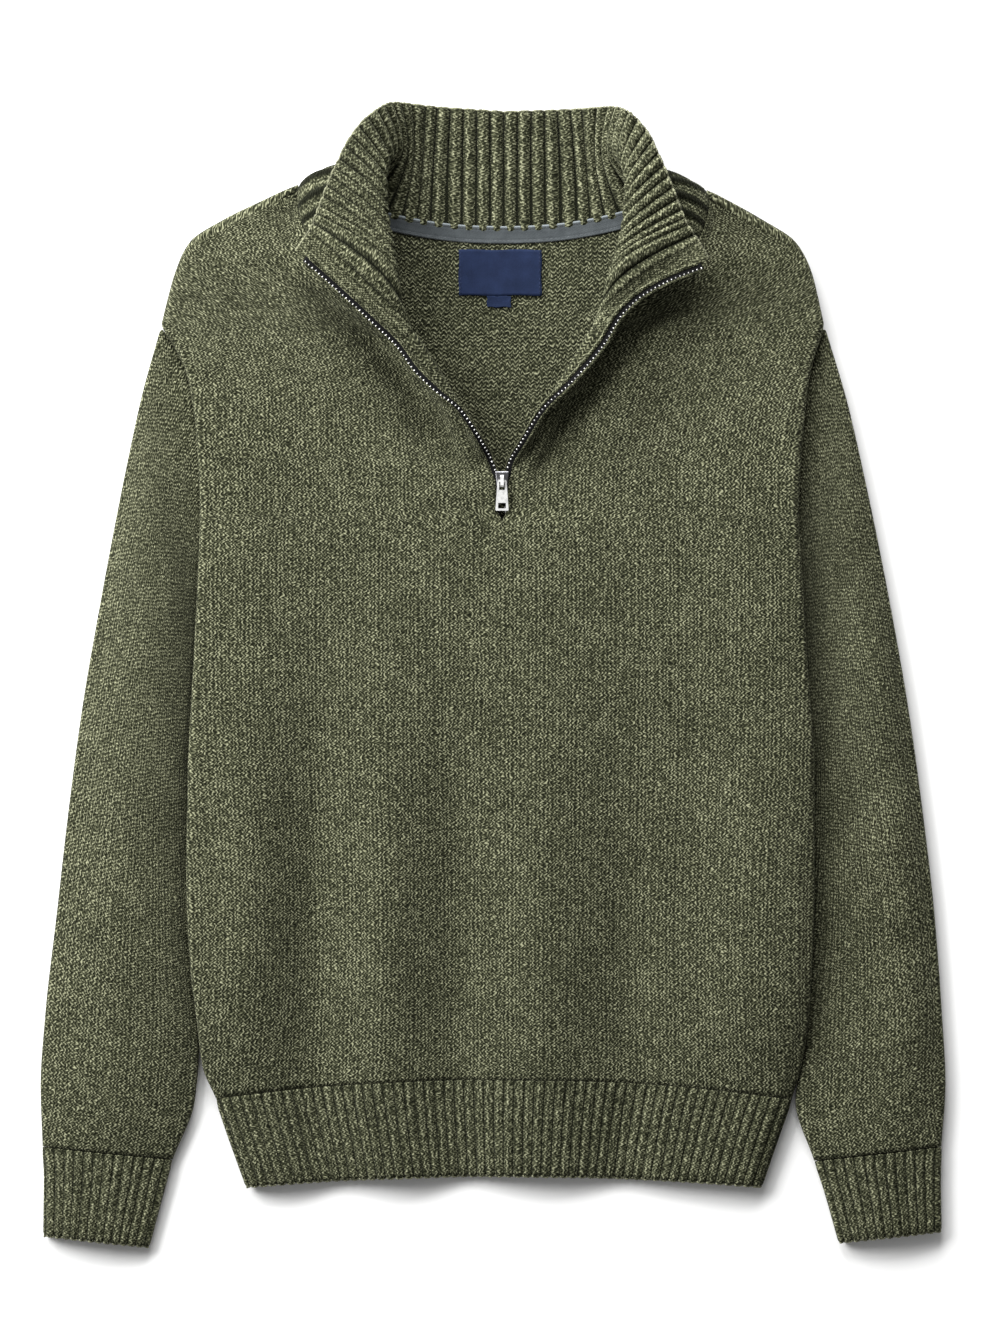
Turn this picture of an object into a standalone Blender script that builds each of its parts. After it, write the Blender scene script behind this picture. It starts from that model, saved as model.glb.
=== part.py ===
"""Quarter zip sweater in rib and plain knit, laid flat on its back with the zip open.

Metres, +Z up, the collar toward +Y. The garment lies on the plane z = 0 and its origin
is the middle of its footprint. Every cloth piece is a wall of one thickness on a middle
surface that is lofted through rows worked out from the tables below.
"""
import math

import bmesh
import bpy
import numpy as np

MM = 0.001                # the tables are in millimetres

# Cloth
WALL = 3.0                # thickness of the knit
FLOOR = WALL / 2          # height of the middle surface where the cloth rests
SEAM = 0.3                # gap between pieces at a seam
SIDE_GAP = 0.6            # the same where they meet at an angle under the rolled sides
NECK_GAP = 0.7            # and where the collar turns over the front's edge
SIDE_TURN = -45.0         # where a rolled edge ends, in degrees below its widest point

# Centre front and the zip's slit
CENTRE = 6.3              # the zip lies a little right of the footprint's middle
SLIT_BELOW = (85.0, 125.0)                 # the front rises or sinks to the zip's height between these y
SLIT_Z = 13.0             # height of the front's middle surface at the foot of the slit
STRIP_HALF = 14.0         # from the centre to where the strip beside the zip begins
BEND_WIDTH = 9.0          # and how much of it bends at the slit

# Back neckline: lowest in the middle, rising to the shoulders
NECK_LOW = 308.0
NECK_RISE = 34.0
NECK_HALF = 143.0
NECK_MIDDLE = 7.0
NECK_POWER = 2.2

# Side and shoulder outline of the body, from the hem seam up to the neck
OUTLINE_COLUMNS = ("y", "left", "right", "roll_z", "roll_r", "crest", "middle")
OUTLINE = (
    (-297, -193.0, 208.5, 6.2, 4.2, 11.5, 10.0),
    (-273, -203.0, 215.5, 9.2, 3.9, 15.0, 10.8),
    (-240, -207.0, 220.5, 14.2, 3.8, 20.0, 11.5),
    (-206, -211.0, 222.5, 16.9, 3.6, 22.0, 12.3),
    (-144, -214.0, 224.5, 17.3, 3.5, 22.5, 13.2),
    (-70, -213.0, 224.5, 17.3, 3.5, 22.0, 14.8),
    (10, -209.0, 219.5, 17.3, 3.5, 21.5, 16.4),
    (60, -206.5, 216.5, 17.3, 3.5, 21.5, 16.8),
    (115, -204.5, 213.5, 17.2, 3.6, 21.0, 16.6),
    (167, -207.0, 216.5, 16.5, 3.6, 19.5, 16.0),
    (200, -211.5, 220.0, 14.7, 3.5, 18.0, 15.6),
    (215, -215.5, 222.5, 13.0, 3.6, 17.0, 15.4),
    (230, -223.0, 227.0, 12.0, 3.4, 16.2, 15.2),
    (246, -231.5, 231.0, 10.6, 3.6, 15.5, 15.0),
    (265, -227.0, 227.0, 8.8, 4.4, 14.8, 14.5),
    (281, -222.5, 223.0, 8.2, 5.0, 14.6, 14.4),
    (303, -212.0, 211.5, 8.0, 5.0, 14.4, 14.2),
    (320, -186.0, 186.0, 8.0, 5.0, 14.0, 13.8),
    (331, -163.5, 166.5, 7.2, 4.0, 12.4, 12.4),
    (344, -136.5, 142.0, 5.2, 2.0, 7.6, 7.6),
)
CREST_IN = 32.0           # from the edge to the crest of the puffed side
CREST_END = 96.0          # from the edge to where the puff has died away

# Back: the y where its side seam opens into the armhole and is fully open, the y where the
# armhole ends and the shoulder seam is closed, and where its rows bend down to the neckline
ARMPIT = (62.0, 92.0)
SHOULDER = (246.0, 268.0)
NECK_BEND = 190.0
BACK_ROWS = (-296.9, -280, -250, -210, -165, -75, 15, 60, 76, 92, 150, 205, 232, 246, 257,
             268, 288, 306, 325, 342.5)
TILT = 4.0                # how much lower the right end of the topmost row is
NEAR_EDGE = (0.0, 1.5, 3.8, 8.0, 15.0, 26.0, 55.0, 100.0)
BETWEEN = (0.333, 0.667)

# Columns of the front's rows: round the rolled edge, across the body and over the turned edge
ROLL_TURNS = np.radians([SIDE_TURN, -22.0, 25.0, 90.0])
REACHES = (0.05, 0.11, 0.175, 0.29, 0.41, 0.535, 0.665, 0.795, 0.925)
LONG_ROW = 150.0          # rows this long have their columns close together at the edge
BEND_STEPS = (0.0, 0.25, 0.5, 0.75, 1.0)
FOLD_COLUMN = len(ROLL_TURNS) + len(REACHES) + 2    # the column on the crest of the bend
STRAIGHT_ROWS = (-296.9, -280, -250, -210, -165, -75, 15, 60, 101)

# Long soft waves of the front below the chest
WAVE_COLUMNS = ("x_hem", "x_top", "y_top", "spread", "height")
WAVES = (
    (-172.0, -168.0, 60.0, 20.0, 2.4),
    (-125.0, -125.0, 60.0, 20.0, -6.6),
    (-74.0, -74.0, 95.0, 20.0, 7.4),
    (-22.0, -24.0, 60.0, 20.0, -7.0),
    (38.0, 34.0, 60.0, 25.0, 6.6),
    (98.0, 92.0, 10.0, 22.0, -6.4),
    (196.0, 186.0, 40.0, 40.0, 3.0),
)
WAVE_FULL = -190.0        # below this y the waves have their whole height
WAVE_HEM = (-300.0, -200.0, 0.6)           # their share at the first y, growing to one at the next

# Front edges beside the zip, from the foot of the slit up to the neck seam. Each row is
# where the turn back starts, how far it turns, and the lengths of its bend and its flap.
PLACKET_COLUMNS = ("side_y", "x", "y", "z", "turn", "bend", "flap")
PLACKET_LEFT = (
    (112, -7.3, 116.0, 13.2, 0, 5, 4.5),
    (128, -7.6, 130.0, 13.5, 0, 5, 4.5),
    (145, -8.6, 143.0, 13.8, 2, 5, 4.5),
    (158, -13.8, 152.0, 15.6, 30, 6, 4.5),
    (176, -18.6, 164.5, 19.0, 76, 6, 4.5),
    (192, -22.8, 178.0, 22.0, 118, 7, 5),
    (206, -28.2, 189.5, 24.4, 148, 8, 7.5),
    (219, -37.0, 204.0, 25.8, 165, 9.5, 10),
    (232, -46.9, 219.8, 26.6, 172, 10.5, 13),
    (246, -58.2, 236.4, 27.0, 175, 11, 11.7),
)
PLACKET_RIGHT = (
    (112, 19.9, 116.0, 13.2, 0, 5, 4.5),
    (128, 20.2, 130.0, 13.5, 0, 5, 4.5),
    (145, 21.2, 143.0, 13.8, 2, 5, 4.5),
    (158, 25.8, 152.0, 15.6, 30, 6, 4.5),
    (176, 30.8, 164.5, 19.0, 76, 6, 4.5),
    (192, 36.6, 180.0, 22.0, 118, 7, 5),
    (206, 44.4, 194.0, 24.4, 148, 8, 6),
    (219, 55.4, 211.5, 25.8, 165, 9.5, 8),
    (232, 63.7, 225.0, 26.6, 172, 10.5, 9.5),
    (246, 72.3, 239.3, 27.0, 175, 11, 11),
)
LIFT_REACH = {"left": 17.0, "right": 58.0}  # how far the raised front edges lift the chest around them
# The trough beside each turned edge: its height, its distance from the edge and its width
DIP = {"left": (-8.0, 26.0, 20.0), "right": (-3.0, 24.0, 14.0)}
DIP_AT = (125.0, 185.0, 250.0, 285.0)      # its depth grows, stays full and dies away between these y

# Collar, from the centre back round to the front edge: the seam, the fold and the free edge
COLLAR_COLUMNS = ("seam_x", "seam_y", "seam_z", "fold_x", "fold_y", "fold_z", "edge_x", "edge_y", "edge_z")
COLLAR_BACK = (7.5, 308.5, 1.5, 7.5, 354.0, 2.2, 7.5, 393.8, 5.0)
COLLAR_LEFT = (
    (-23.1, 310.4, 1.5, -22.4, 355.2, 2.2, -21.7, 395.8, 5.5),
    (-54.6, 314.6, 1.5, -50.0, 358.5, 2.8, -48.3, 397.9, 8.0),
    (-75.6, 320.2, 1.5, -60.5, 364.5, 6.5, -64.4, 399.3, 16.0),
    (-103.6, 328.6, 1.8, -68.0, 367.0, 17.5, -75.6, 397.2, 26.0),
    (-124.0, 337.0, 2.4, -72.6, 361.5, 26.0, -84.0, 391.0, 33.5),
    (-134.4, 341.0, 5.3, -75.0, 355.5, 31.0, -90.5, 385.0, 37.0),
    (-136.0, 332.0, 9.6, -76.2, 349.0, 33.7, -96.0, 378.0, 39.0),
    (-134.3, 320.0, 12.0, -76.5, 340.0, 36.5, -100.8, 370.6, 41.8),
    (-127.0, 304.0, 15.4, -76.0, 326.5, 37.8, -107.1, 357.3, 42.5),
    (-115.5, 287.5, 19.5, -74.3, 309.0, 38.3, -112.0, 346.8, 43.0),
    (-97.5, 270.0, 23.5, -70.8, 289.0, 37.8, -117.6, 332.1, 43.0),
    (-74.0, 252.5, 26.5, -67.0, 269.0, 37.0, -122.5, 318.8, 42.5),
)
COLLAR_RIGHT = (
    (38.0, 310.4, 1.5, 37.5, 355.2, 2.2, 37.0, 394.6, 5.5),
    (69.5, 314.6, 1.5, 66.0, 358.0, 2.8, 63.5, 395.8, 8.0),
    (90.3, 319.6, 1.5, 77.0, 363.5, 6.5, 80.5, 396.5, 16.0),
    (118.3, 328.0, 1.8, 85.0, 366.0, 17.5, 90.3, 394.4, 26.0),
    (138.0, 337.0, 2.4, 90.0, 360.0, 26.0, 97.5, 389.5, 33.5),
    (147.9, 337.8, 5.3, 92.6, 354.0, 31.0, 103.5, 382.5, 37.0),
    (150.4, 329.5, 9.6, 93.9, 347.5, 33.7, 108.5, 375.8, 39.0),
    (148.5, 319.0, 12.0, 94.6, 338.5, 36.5, 112.7, 366.4, 41.8),
    (143.0, 304.0, 15.4, 94.0, 325.0, 37.8, 118.3, 353.8, 42.5),
    (132.0, 288.0, 19.5, 91.8, 307.5, 38.3, 123.9, 339.8, 43.0),
    (114.0, 270.5, 23.5, 87.5, 288.5, 37.8, 130.2, 323.0, 43.0),
    (89.0, 254.0, 26.5, 81.5, 270.5, 37.0, 135.1, 311.8, 42.5),
)
# Its end along the zip: the station on the crest of the turned front edge and the last one
COLLAR_TIP_COLUMNS = ("fold_x", "fold_y", "fold_z", "edge_x", "edge_y", "edge_z")
COLLAR_TIP_LEFT = ((-67.0, 252.0, 37.3, -127.4, 308.0, 42.3),
                   (-83.0, 243.0, 38.2, -136.5, 295.0, 42.2))
COLLAR_TIP_RIGHT = ((79.5, 256.5, 37.3, 142.8, 300.6, 42.3),
                    (91.5, 248.0, 38.2, 149.8, 288.8, 42.2))
# How far the stand bulges outward below its fold at each station, and which way
COLLAR_BULGE = {
    "left": ((0, 0.0), (3, 0.0), (4, 6.0), (5, 13.0), (6, 17.0), (7, 16.0), (8, 12.0), (9, 7.0), (10.5, 2.0),
             (12, 0.0)),
    "right": ((0, 0.0), (3, 0.0), (4, 4.0), (5, 9.0), (6, 12.0), (7, 13.0), (8, 11.0), (9, 7.0), (10.5, 2.0),
              (12, 0.0)),
}
BULGE_WAY, BULGE_LOW = (0.62, 0.75, 0.1), 0.75
# Rows and columns of its surface, and the gap left at its seam at some stations
COLLAR_ROWS = (0.0, 1.0, 2.0, 2.6, 3.2, 3.8, 4.4, 5.0, 5.6, 6.0, 6.5, 7.3, 8.0, 9.0, 10.0, 11.0,
               12.0, 12.5, 13.0, 14.0, 15.0, 16.0)
COLLAR_ACROSS = (0.0, 0.07, 0.16, 0.26, 0.37, 0.48, 0.6, 0.75, 1.0)
COLLAR_GAP_AT = (5.0, 6.5, 7.3, 8.0, 11.0, 12.0, 12.5, 13.0, 14.0)
COLLAR_GAP = (0.6, 4.2, 4.0, 1.6, 0.8, 2.8, 3.4, 2.4, 0.9)
# Front rows that end on the neck seam: the collar's station there and the y at their edge
NECK_ROWS = ((12.0, 263.0), (11.0, 278.0), (10.0, 293.0), (9.0, 307.0), (8.0, 320.0), (7.3, 330.0))
# The point where the shoulder seam meets the neck seam: the side's y and the seam's stations
NECK_POINT = {"left": 343.8, "right": 339.8}
NECK_CORNER = (6.35, 7.3)

# Sleeves, from the armhole to the cuff seam: inner edge, outer edge, edge and crown heights
SLEEVE_COLUMNS = ("inner_x", "inner_y", "outer_x", "outer_y", "edge_h", "crown_h")
SLEEVE_LEFT = (
    (-203.5, 62, -231.0, 244, 9.2, 9.4),
    (-206.0, 30, -243.5, 201, 9.4, 15.0),
    (-208.5, -8, -257.5, 137, 9.6, 20.0),
    (-212.0, -60, -273.7, 53, 9.8, 22.5),
    (-213.0, -115, -286.5, -20, 10.0, 22.0),
    (-212.5, -165, -296.5, -93, 10.0, 22.0),
    (-210.0, -215, -305.0, -166, 10.0, 21.5),
    (-205.5, -258, -313.0, -235, 10.0, 20.5),
    (-208.5, -297, -316.4, -286, 10.0, 18.5),
    (-224.0, -338, -315.0, -329, 9.6, 14.0),
)
SLEEVE_RIGHT = (
    (213.5, 62, 230.5, 244, 9.2, 9.4),
    (216.0, 30, 245.0, 198, 9.4, 11.5),
    (218.5, -8, 260.0, 134, 9.6, 14.0),
    (223.5, -60, 276.5, 53, 9.8, 16.0),
    (224.0, -115, 289.5, -20, 10.0, 17.5),
    (223.5, -165, 299.5, -90, 10.0, 17.5),
    (221.0, -215, 308.5, -166, 10.0, 17.5),
    (217.5, -258, 314.0, -238, 10.0, 17.0),
    (211.5, -297, 316.4, -284, 10.0, 16.0),
    (224.5, -339, 313.5, -329, 9.6, 14.0),
)
CUFF_COLUMNS = SLEEVE_COLUMNS
CUFF_LEFT = ((-224.3, -338.6, -315.0, -329.6, 9.6, 14.0),
             (-230.5, -361, -313.6, -351, 9.5, 13.6),
             (-240.7, -398.9, -314.0, -391, 9.4, 13.2))
CUFF_RIGHT = ((224.8, -339.6, 313.5, -329.6, 9.6, 14.0),
              (232.0, -361, 312.6, -351, 9.5, 13.6),
              (242.0, -395.7, 313.2, -388, 9.4, 13.2))

# Places round a tube: down each rounded edge, and across its upper side
ARC = np.radians([-90, -45, 0, 45, 90])
# How the sleeve's crown leans away from the body, and how full its inner side is, at places
SLEEVE_SHAPE_AT = (0.0, 1.5, 7.0, 9.0)
SLEEVE_LEAN = {"left": (1.0, 1.0, 1.0, 1.0), "right": (1.0, 2.6, 2.6, 1.0)}
SLEEVE_FULL = {"left": (0.95, 0.5, 0.6, 0.95), "right": (0.95, 0.95, 0.95, 0.95)}
SLEEVE_ROWS = (0, 0.5, 1, 1.7, 2.6, 4, 5.4, 6.7, 7.5, 8.2, 9)

# Hem band, from its seam to its lower edge: the body's section drawn in and flattened
HEM_COLUMNS = ("y_middle", "y_side", "left", "right", "height")
HEM = (
    (-283.0, -297.2, -193.0, 208.5, 1.0),
    (-305.0, -318.0, -186.0, 201.0, 0.93),
    (-349.3, -356.8, -172.0, 187.5, 0.82),
)

# Trims
NECK_TAPE_WIDTH = 12.0
NECK_TAPE_STATIONS = (0.0, 0.6, 1.2, 1.8, 2.4, 3.0, 3.4)   # of the collar it is sewn along
TRIM_THICK = 0.6
LABEL = (-24.0, 34.0, 265.7, 297.9)        # left, right, bottom, top
SIZE_TAB = (-4.2, 12.6, 257.6, 265.4)

# Zip tapes, with their teeth: down the placket's rows, how far each reaches past the knit edge
# and how far it stands off the knit; then how far past the collar's end at heights on it
TAPE_COLUMNS = ("row", "reach", "lift")
TAPE_ROWS = (
    (0, 3.9, 0.0), (1, 3.9, 0.0), (3, 3.6, 0.0), (4, 4.0, 0.5), (5, 4.4, 0.9), (7, 3.9, 1.1),
    (9, 2.2, 1.3), (10, 0.8, 1.4), (11, -0.3, 0.9), (12, 0.2, 0.5), (13, 0.3, 0.3), (14, 0.3, 0.3),
)
COLLAR_REACH = {"left": ((0.0, 0.3), (0.4, -0.6), (0.7, 0.4), (0.92, 2.0)),
                "right": ((0.0, -2.2), (0.4, -1.8), (0.7, 1.2), (0.92, 4.2))}
COLLAR_ZIP_TOP = {"left": 0.915, "right": 0.93}
TAPE_HEIGHTS = (0.13, 0.26, 0.39, 0.52, 0.65, 0.78, 0.9, 1.0)      # as shares of the zip's top
TAPE_ACROSS = (0.0, 2.6, 5.2)
TAPE_THICK = 1.1
TAPE_BELOW = 12.0         # how far the tapes run on below the slit's foot

# Slider and pull tab
SLIDER_TOP = 142.6
SLIDER_LENGTH = 11.0
SLIDER_WIDTHS = (9.8, 7.4)                 # at its mouth and at its tail
SLIDER_THICK = 4.6
SLIDER_Z = 15.2
HINGE_Y = 135.8
HINGE_Z = SLIDER_Z + SLIDER_THICK / 2 + SEAM + 1.4
BRIDGE_WIDTH = 2.4
PULL_WIDTHS = (6.4, 9.2)                   # at its top and at its foot
PULL_LENGTH = 21.5
PULL_THICK = 1.3
PULL_BAR = 0.65                            # half the bar that turns in the bridge
PULL_DROOP = 7.0                           # how much it slopes down, in degrees

OLIVE = (0.115, 0.12, 0.072)
OLIVE_RIB = (0.10, 0.105, 0.062)
OLIVE_DARK = (0.075, 0.08, 0.05)
TWILL = (0.085, 0.095, 0.097)
NAVY = (0.021, 0.03, 0.075)
BLACK = (0.01, 0.01, 0.011)
STEEL = (0.62, 0.62, 0.62)
GUNMETAL = (0.12, 0.12, 0.125)


# ---------------------------------------------------------------- tables and curves
def columns(table, names):
    """The table's columns by name, as arrays."""
    data = np.array(table, dtype=float)
    return {name: data[:, i] for i, name in enumerate(names)}


def curve(xs, ys, x):
    """Cubic through the points with slopes that never overshoot them."""
    xs, ys, x = np.asarray(xs, float), np.asarray(ys, float), np.asarray(x, float)
    h = np.diff(xs)
    d = np.diff(ys) / h
    m = np.zeros(len(xs))
    m[0], m[-1] = d[0], d[-1]
    inside = d[:-1] * d[1:] > 0
    w1, w2 = 2 * h[1:] + h[:-1], h[1:] + 2 * h[:-1]
    with np.errstate(divide="ignore", invalid="ignore"):
        mean = (w1 + w2) / (w1 / d[:-1] + w2 / d[1:])
    m[1:-1] = np.where(inside, mean, 0.0)
    i = np.clip(np.searchsorted(xs, x) - 1, 0, len(xs) - 2)
    t = (x - xs[i]) / h[i]
    a, b = ys[i], ys[i + 1]
    return (a * (1 + 2 * t) * (1 - t) ** 2 + b * t * t * (3 - 2 * t)
            + h[i] * (m[i] * t * (1 - t) ** 2 + m[i + 1] * t * t * (t - 1)))


def natural(keys, points, t):
    """Natural cubic spline through rows of points at the given keys."""
    keys, points, t = np.asarray(keys, float), np.asarray(points, float), np.asarray(t, float)
    n = len(keys)
    h = np.diff(keys)
    system = np.eye(n)
    right = np.zeros((n,) + points.shape[1:])
    for i in range(1, n - 1):
        system[i, i - 1:i + 2] = h[i - 1], 2 * (h[i - 1] + h[i]), h[i]
        right[i] = 6 * ((points[i + 1] - points[i]) / h[i] - (points[i] - points[i - 1]) / h[i - 1])
    bend = np.linalg.solve(system, right.reshape(n, -1)).reshape(right.shape)
    i = np.clip(np.searchsorted(keys, t) - 1, 0, n - 2)
    shape = (-1,) + (1,) * (points.ndim - 1)
    left, back = ((t - keys[i]) / h[i]).reshape(shape), ((keys[i + 1] - t) / h[i]).reshape(shape)
    step = (h[i] ** 2).reshape(shape) / 6
    return (back * points[i] + left * points[i + 1]
            + step * ((back ** 3 - back) * bend[i] + (left ** 3 - left) * bend[i + 1]))


def unit(v):
    """Rows of vectors at length one."""
    return v / np.maximum(np.linalg.norm(v, axis=-1, keepdims=True), 1e-9)


def lengths(points):
    """Length along the points from the first one."""
    return np.insert(np.cumsum(np.linalg.norm(np.diff(points, axis=0), axis=1)), 0, 0.0)


# ---------------------------------------------------------------- body outline and height
SIDES = columns(OUTLINE, OUTLINE_COLUMNS)
FOLDS = columns(WAVES, WAVE_COLUMNS)


def outline(y, side):
    """Outline's x, its height values, and the outward normal in the plane, at each y."""
    row = {name: curve(SIDES["y"], SIDES[name], y) for name in OUTLINE_COLUMNS[1:]}
    step = 0.5
    ahead = curve(SIDES["y"], SIDES[side], np.asarray(y, float) + step)
    behind = curve(SIDES["y"], SIDES[side], np.asarray(y, float) - step)
    tangent = unit(np.stack([ahead - behind, np.full_like(ahead, 2 * step)], -1))
    out = np.stack([-tangent[..., 1], tangent[..., 0]], -1)
    if side == "right":
        out = -out
    row["x"] = row[side]
    row["out"] = out
    return row


def waves(x, y):
    """Height added by the long folds of the lower front."""
    total = np.zeros_like(x)
    for i in range(len(WAVES)):
        top = FOLDS["y_top"][i]
        along = np.clip((y - WAVE_FULL) / (top - WAVE_FULL), 0, 1)
        centre = FOLDS["x_hem"][i] + (FOLDS["x_top"][i] - FOLDS["x_hem"][i]) * along
        fade = 0.5 + 0.5 * np.cos(math.pi * along)
        total += FOLDS["height"][i] * fade * np.exp(-((x - centre) / FOLDS["spread"][i]) ** 2)
    return total * np.interp(y, WAVE_HEM[:2], (WAVE_HEM[2], 1.0))


def puff(inward, row):
    """Height of the middle surface at a distance inside the outline."""
    start = row["roll_r"] + WALL / 2
    top = row["roll_z"] + row["roll_r"]
    rise = np.clip((inward - start) / (CREST_IN - start), 0, 1)
    fall = np.clip((inward - CREST_IN) / (CREST_END - CREST_IN), 0, 1)
    up = top + (row["crest"] - top) * np.sin(rise * math.pi / 2)
    return up + (row["middle"] - row["crest"]) * (0.5 - 0.5 * np.cos(math.pi * fall))


# ---------------------------------------------------------------- front
def placket(side):
    """Rows where the front's edge turns back beside the zip, finer than the table."""
    table = columns(PLACKET_LEFT if side == "left" else PLACKET_RIGHT, PLACKET_COLUMNS)
    last = len(table["x"]) - 1
    keys = np.arange(last + 1)
    at = np.array([0, 1, 2, 2.5, 3, 3.5, 4, 4.5, 5, 6, 7, 8, last])
    return {name: curve(keys, table[name], at) for name in PLACKET_COLUMNS}


def toward_zip(x, y, side):
    """Direction in the plane from the hinge of each turned edge toward the opening."""
    tangent = unit(np.stack([np.gradient(x), np.gradient(y)], -1))
    normal = np.stack([tangent[:, 1], -tangent[:, 0]], -1)
    return normal if side == "left" else -normal


def front_half(side):
    """Grid of the front's half: rows from the hem seam to the neck, columns edge to zip."""
    edge = placket(side)
    straight_y = np.array(STRAIGHT_ROWS, float)
    rows = []
    for y in straight_y:
        sag = np.interp(y, [-297, -200], [14.2, 0.0])
        rows.append(straight_row(y, y + sag, side))
    hinges = toward_zip(edge["x"], edge["y"], side)
    for i in range(len(edge["x"])):
        rows.append(turned_row({k: v[i] for k, v in edge.items()}, hinges[i], side))
    for i in range(FOLD_COLUMN, len(rows[-1])):
        end = np.array(rows[-1][i])
        rows[-1][i] = list(end + unit(np.array(rows[-2][i]) - end) * NECK_GAP)
    for station, side_y in NECK_ROWS:
        rows.append(neck_row(station, side_y, side))
    rows.append(corner_row(rows[-1][-1], side))
    return rows


def roll_points(side_y, side):
    """Points round the rolled edge at one place of the outline, its values and its centre."""
    at = {k: v[0] for k, v in outline(np.array([side_y]), side).items()}
    centre = np.array([at["x"], side_y]) - at["out"] * (at["roll_r"] + WALL / 2)
    points = []
    for turn in ROLL_TURNS:
        plan = centre + at["out"] * at["roll_r"] * math.cos(turn)
        points.append([plan[0], plan[1], at["roll_z"] + at["roll_r"] * math.sin(turn)])
    return points, at, centre


def body_part(side_y, hinge, hinge_z, side, power=1.0):
    """Points of a row from its rolled edge up to the hinge of its inner end."""
    points, at, centre = roll_points(side_y, side)
    length = np.linalg.norm(hinge - centre)
    long = min(1.0, length / LONG_ROW)
    even = np.arange(1, len(REACHES) + 1) / (len(REACHES) + 1)
    for reach in np.array(REACHES) * long + even * (1 - long):
        x = centre[0] + (hinge[0] - centre[0]) * reach
        y = centre[1] + (hinge[1] - centre[1]) * (1 - (1 - reach) ** power)
        inward = edge_distance(x, y, side)
        z = puff(inward, at) + waves(np.array(x), np.array(y))
        if hinge_z is not None:
            away = length * (1 - reach)
            none = math.exp(-(length / LIFT_REACH[side]) ** 2)
            lift = (math.exp(-(away / LIFT_REACH[side]) ** 2) - none) / (1 - none)
            z += (hinge_z - z) * lift
            deep, out, wide = DIP[side]
            here = np.interp(side_y, DIP_AT, (0.0, 1.0, 1.0, 0.0))
            z += deep * here * (1 - math.exp(-(away / 8.0) ** 2)) * math.exp(-((away - out) / wide) ** 2)
        points.append([x, y, float(z)])
    return points


EDGE_LINES = {}


def edge_distance(x, y, side):
    """Distance in the plane from a point to the outline."""
    if side not in EDGE_LINES:
        ys = np.linspace(-297, 344, 322)
        EDGE_LINES[side] = np.stack([curve(SIDES["y"], SIDES[side], ys), ys], -1)
    return float(np.min(np.hypot(EDGE_LINES[side][:, 0] - x, EDGE_LINES[side][:, 1] - y)))


def straight_row(side_y, centre_y, side):
    """Row below the slit, ending at the centre line."""
    sign = 1 if side == "left" else -1
    at_slit = np.interp(centre_y, SLIT_BELOW, (0.0, 1.0))
    middle = np.interp(centre_y, SIDES["y"], SIDES["middle"])
    points = body_part(side_y, np.array([CENTRE - sign * STRIP_HALF, centre_y]), None, side, 2.0)
    for step in (*BEND_STEPS, STRIP_HALF / BEND_WIDTH):
        x = CENTRE - sign * (STRIP_HALF - BEND_WIDTH * step)
        z = middle + waves(np.array(x), np.array(centre_y))
        points.append([x, centre_y, float(z + (SLIT_Z - z) * at_slit)])
    return points


def turned_row(row, toward, side):
    """Row beside the zip: its inner end bends back and runs on as a narrow flap."""
    hinge = np.array([row["x"], row["y"]])
    points = body_part(row["side_y"], hinge, row["z"], side)
    turn = math.radians(max(row["turn"], 0.5))
    radius = row["bend"] / turn
    for step in BEND_STEPS:
        plan = hinge + toward * radius * math.sin(turn * step)
        points.append([plan[0], plan[1], row["z"] + radius * (1 - math.cos(turn * step))])
    heading = np.array([toward[0] * math.cos(turn), toward[1] * math.cos(turn), math.sin(turn)])
    points.append(list(np.array(points[-1]) + heading * row["flap"]))
    return points


def neck_row(station, side_y, side):
    """Row under the collar, ending at the neck seam in the collar's own direction."""
    seam = collar_surface(side, np.array([station]), np.array([0.0, 0.05]))[0]
    ahead = unit(seam[1] - seam[0])
    end = seam[0] - ahead * NECK_GAP
    edge_x = curve(SIDES["y"], SIDES[side], np.array([side_y]))[0]
    start = end - ahead * min(7.0, 0.3 * math.hypot(end[0] - edge_x, end[1] - side_y))
    points = body_part(side_y, start[:2], start[2], side)
    for step in BEND_STEPS[:3]:
        points.append(list(start + (end - start) * step * 2))
    return points


def corner_row(end, side):
    """Last row: round the rolled shoulder at the neck point, then along the neck seam."""
    points = roll_points(NECK_POINT[side], side)[0]
    count = len(REACHES) + 3
    stations = np.linspace(*NECK_CORNER, count)
    seam = collar_surface(side, stations, np.array([0.0, 0.05]))
    for first, second in seam[:-1]:
        points.append(list(first - unit(second - first) * NECK_GAP))
    points.append(list(end))
    return points


# ---------------------------------------------------------------- collar
def collar_stations(side):
    """Columns of the collar's table, with its end stations on the turned front edge."""
    body = list(COLLAR_LEFT if side == "left" else COLLAR_RIGHT)
    tip = np.array(COLLAR_TIP_LEFT if side == "left" else COLLAR_TIP_RIGHT)
    edge = placket(side)
    toward = toward_zip(edge["x"], edge["y"], side)[-1]
    turned = np.array(turned_row({k: v[-1] for k, v in edge.items()}, toward, side))[FOLD_COLUMN:]
    along = lengths(turned)
    for point, part in zip(turned, along / along[-1]):
        body.append((*point, *(tip[0] + (tip[1] - tip[0]) * part)))
    table = columns([COLLAR_BACK] + body, COLLAR_COLUMNS)
    table["seam_y"][:6] = neckline(table["seam_x"][:6]) + SEAM / 2
    return table


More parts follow.
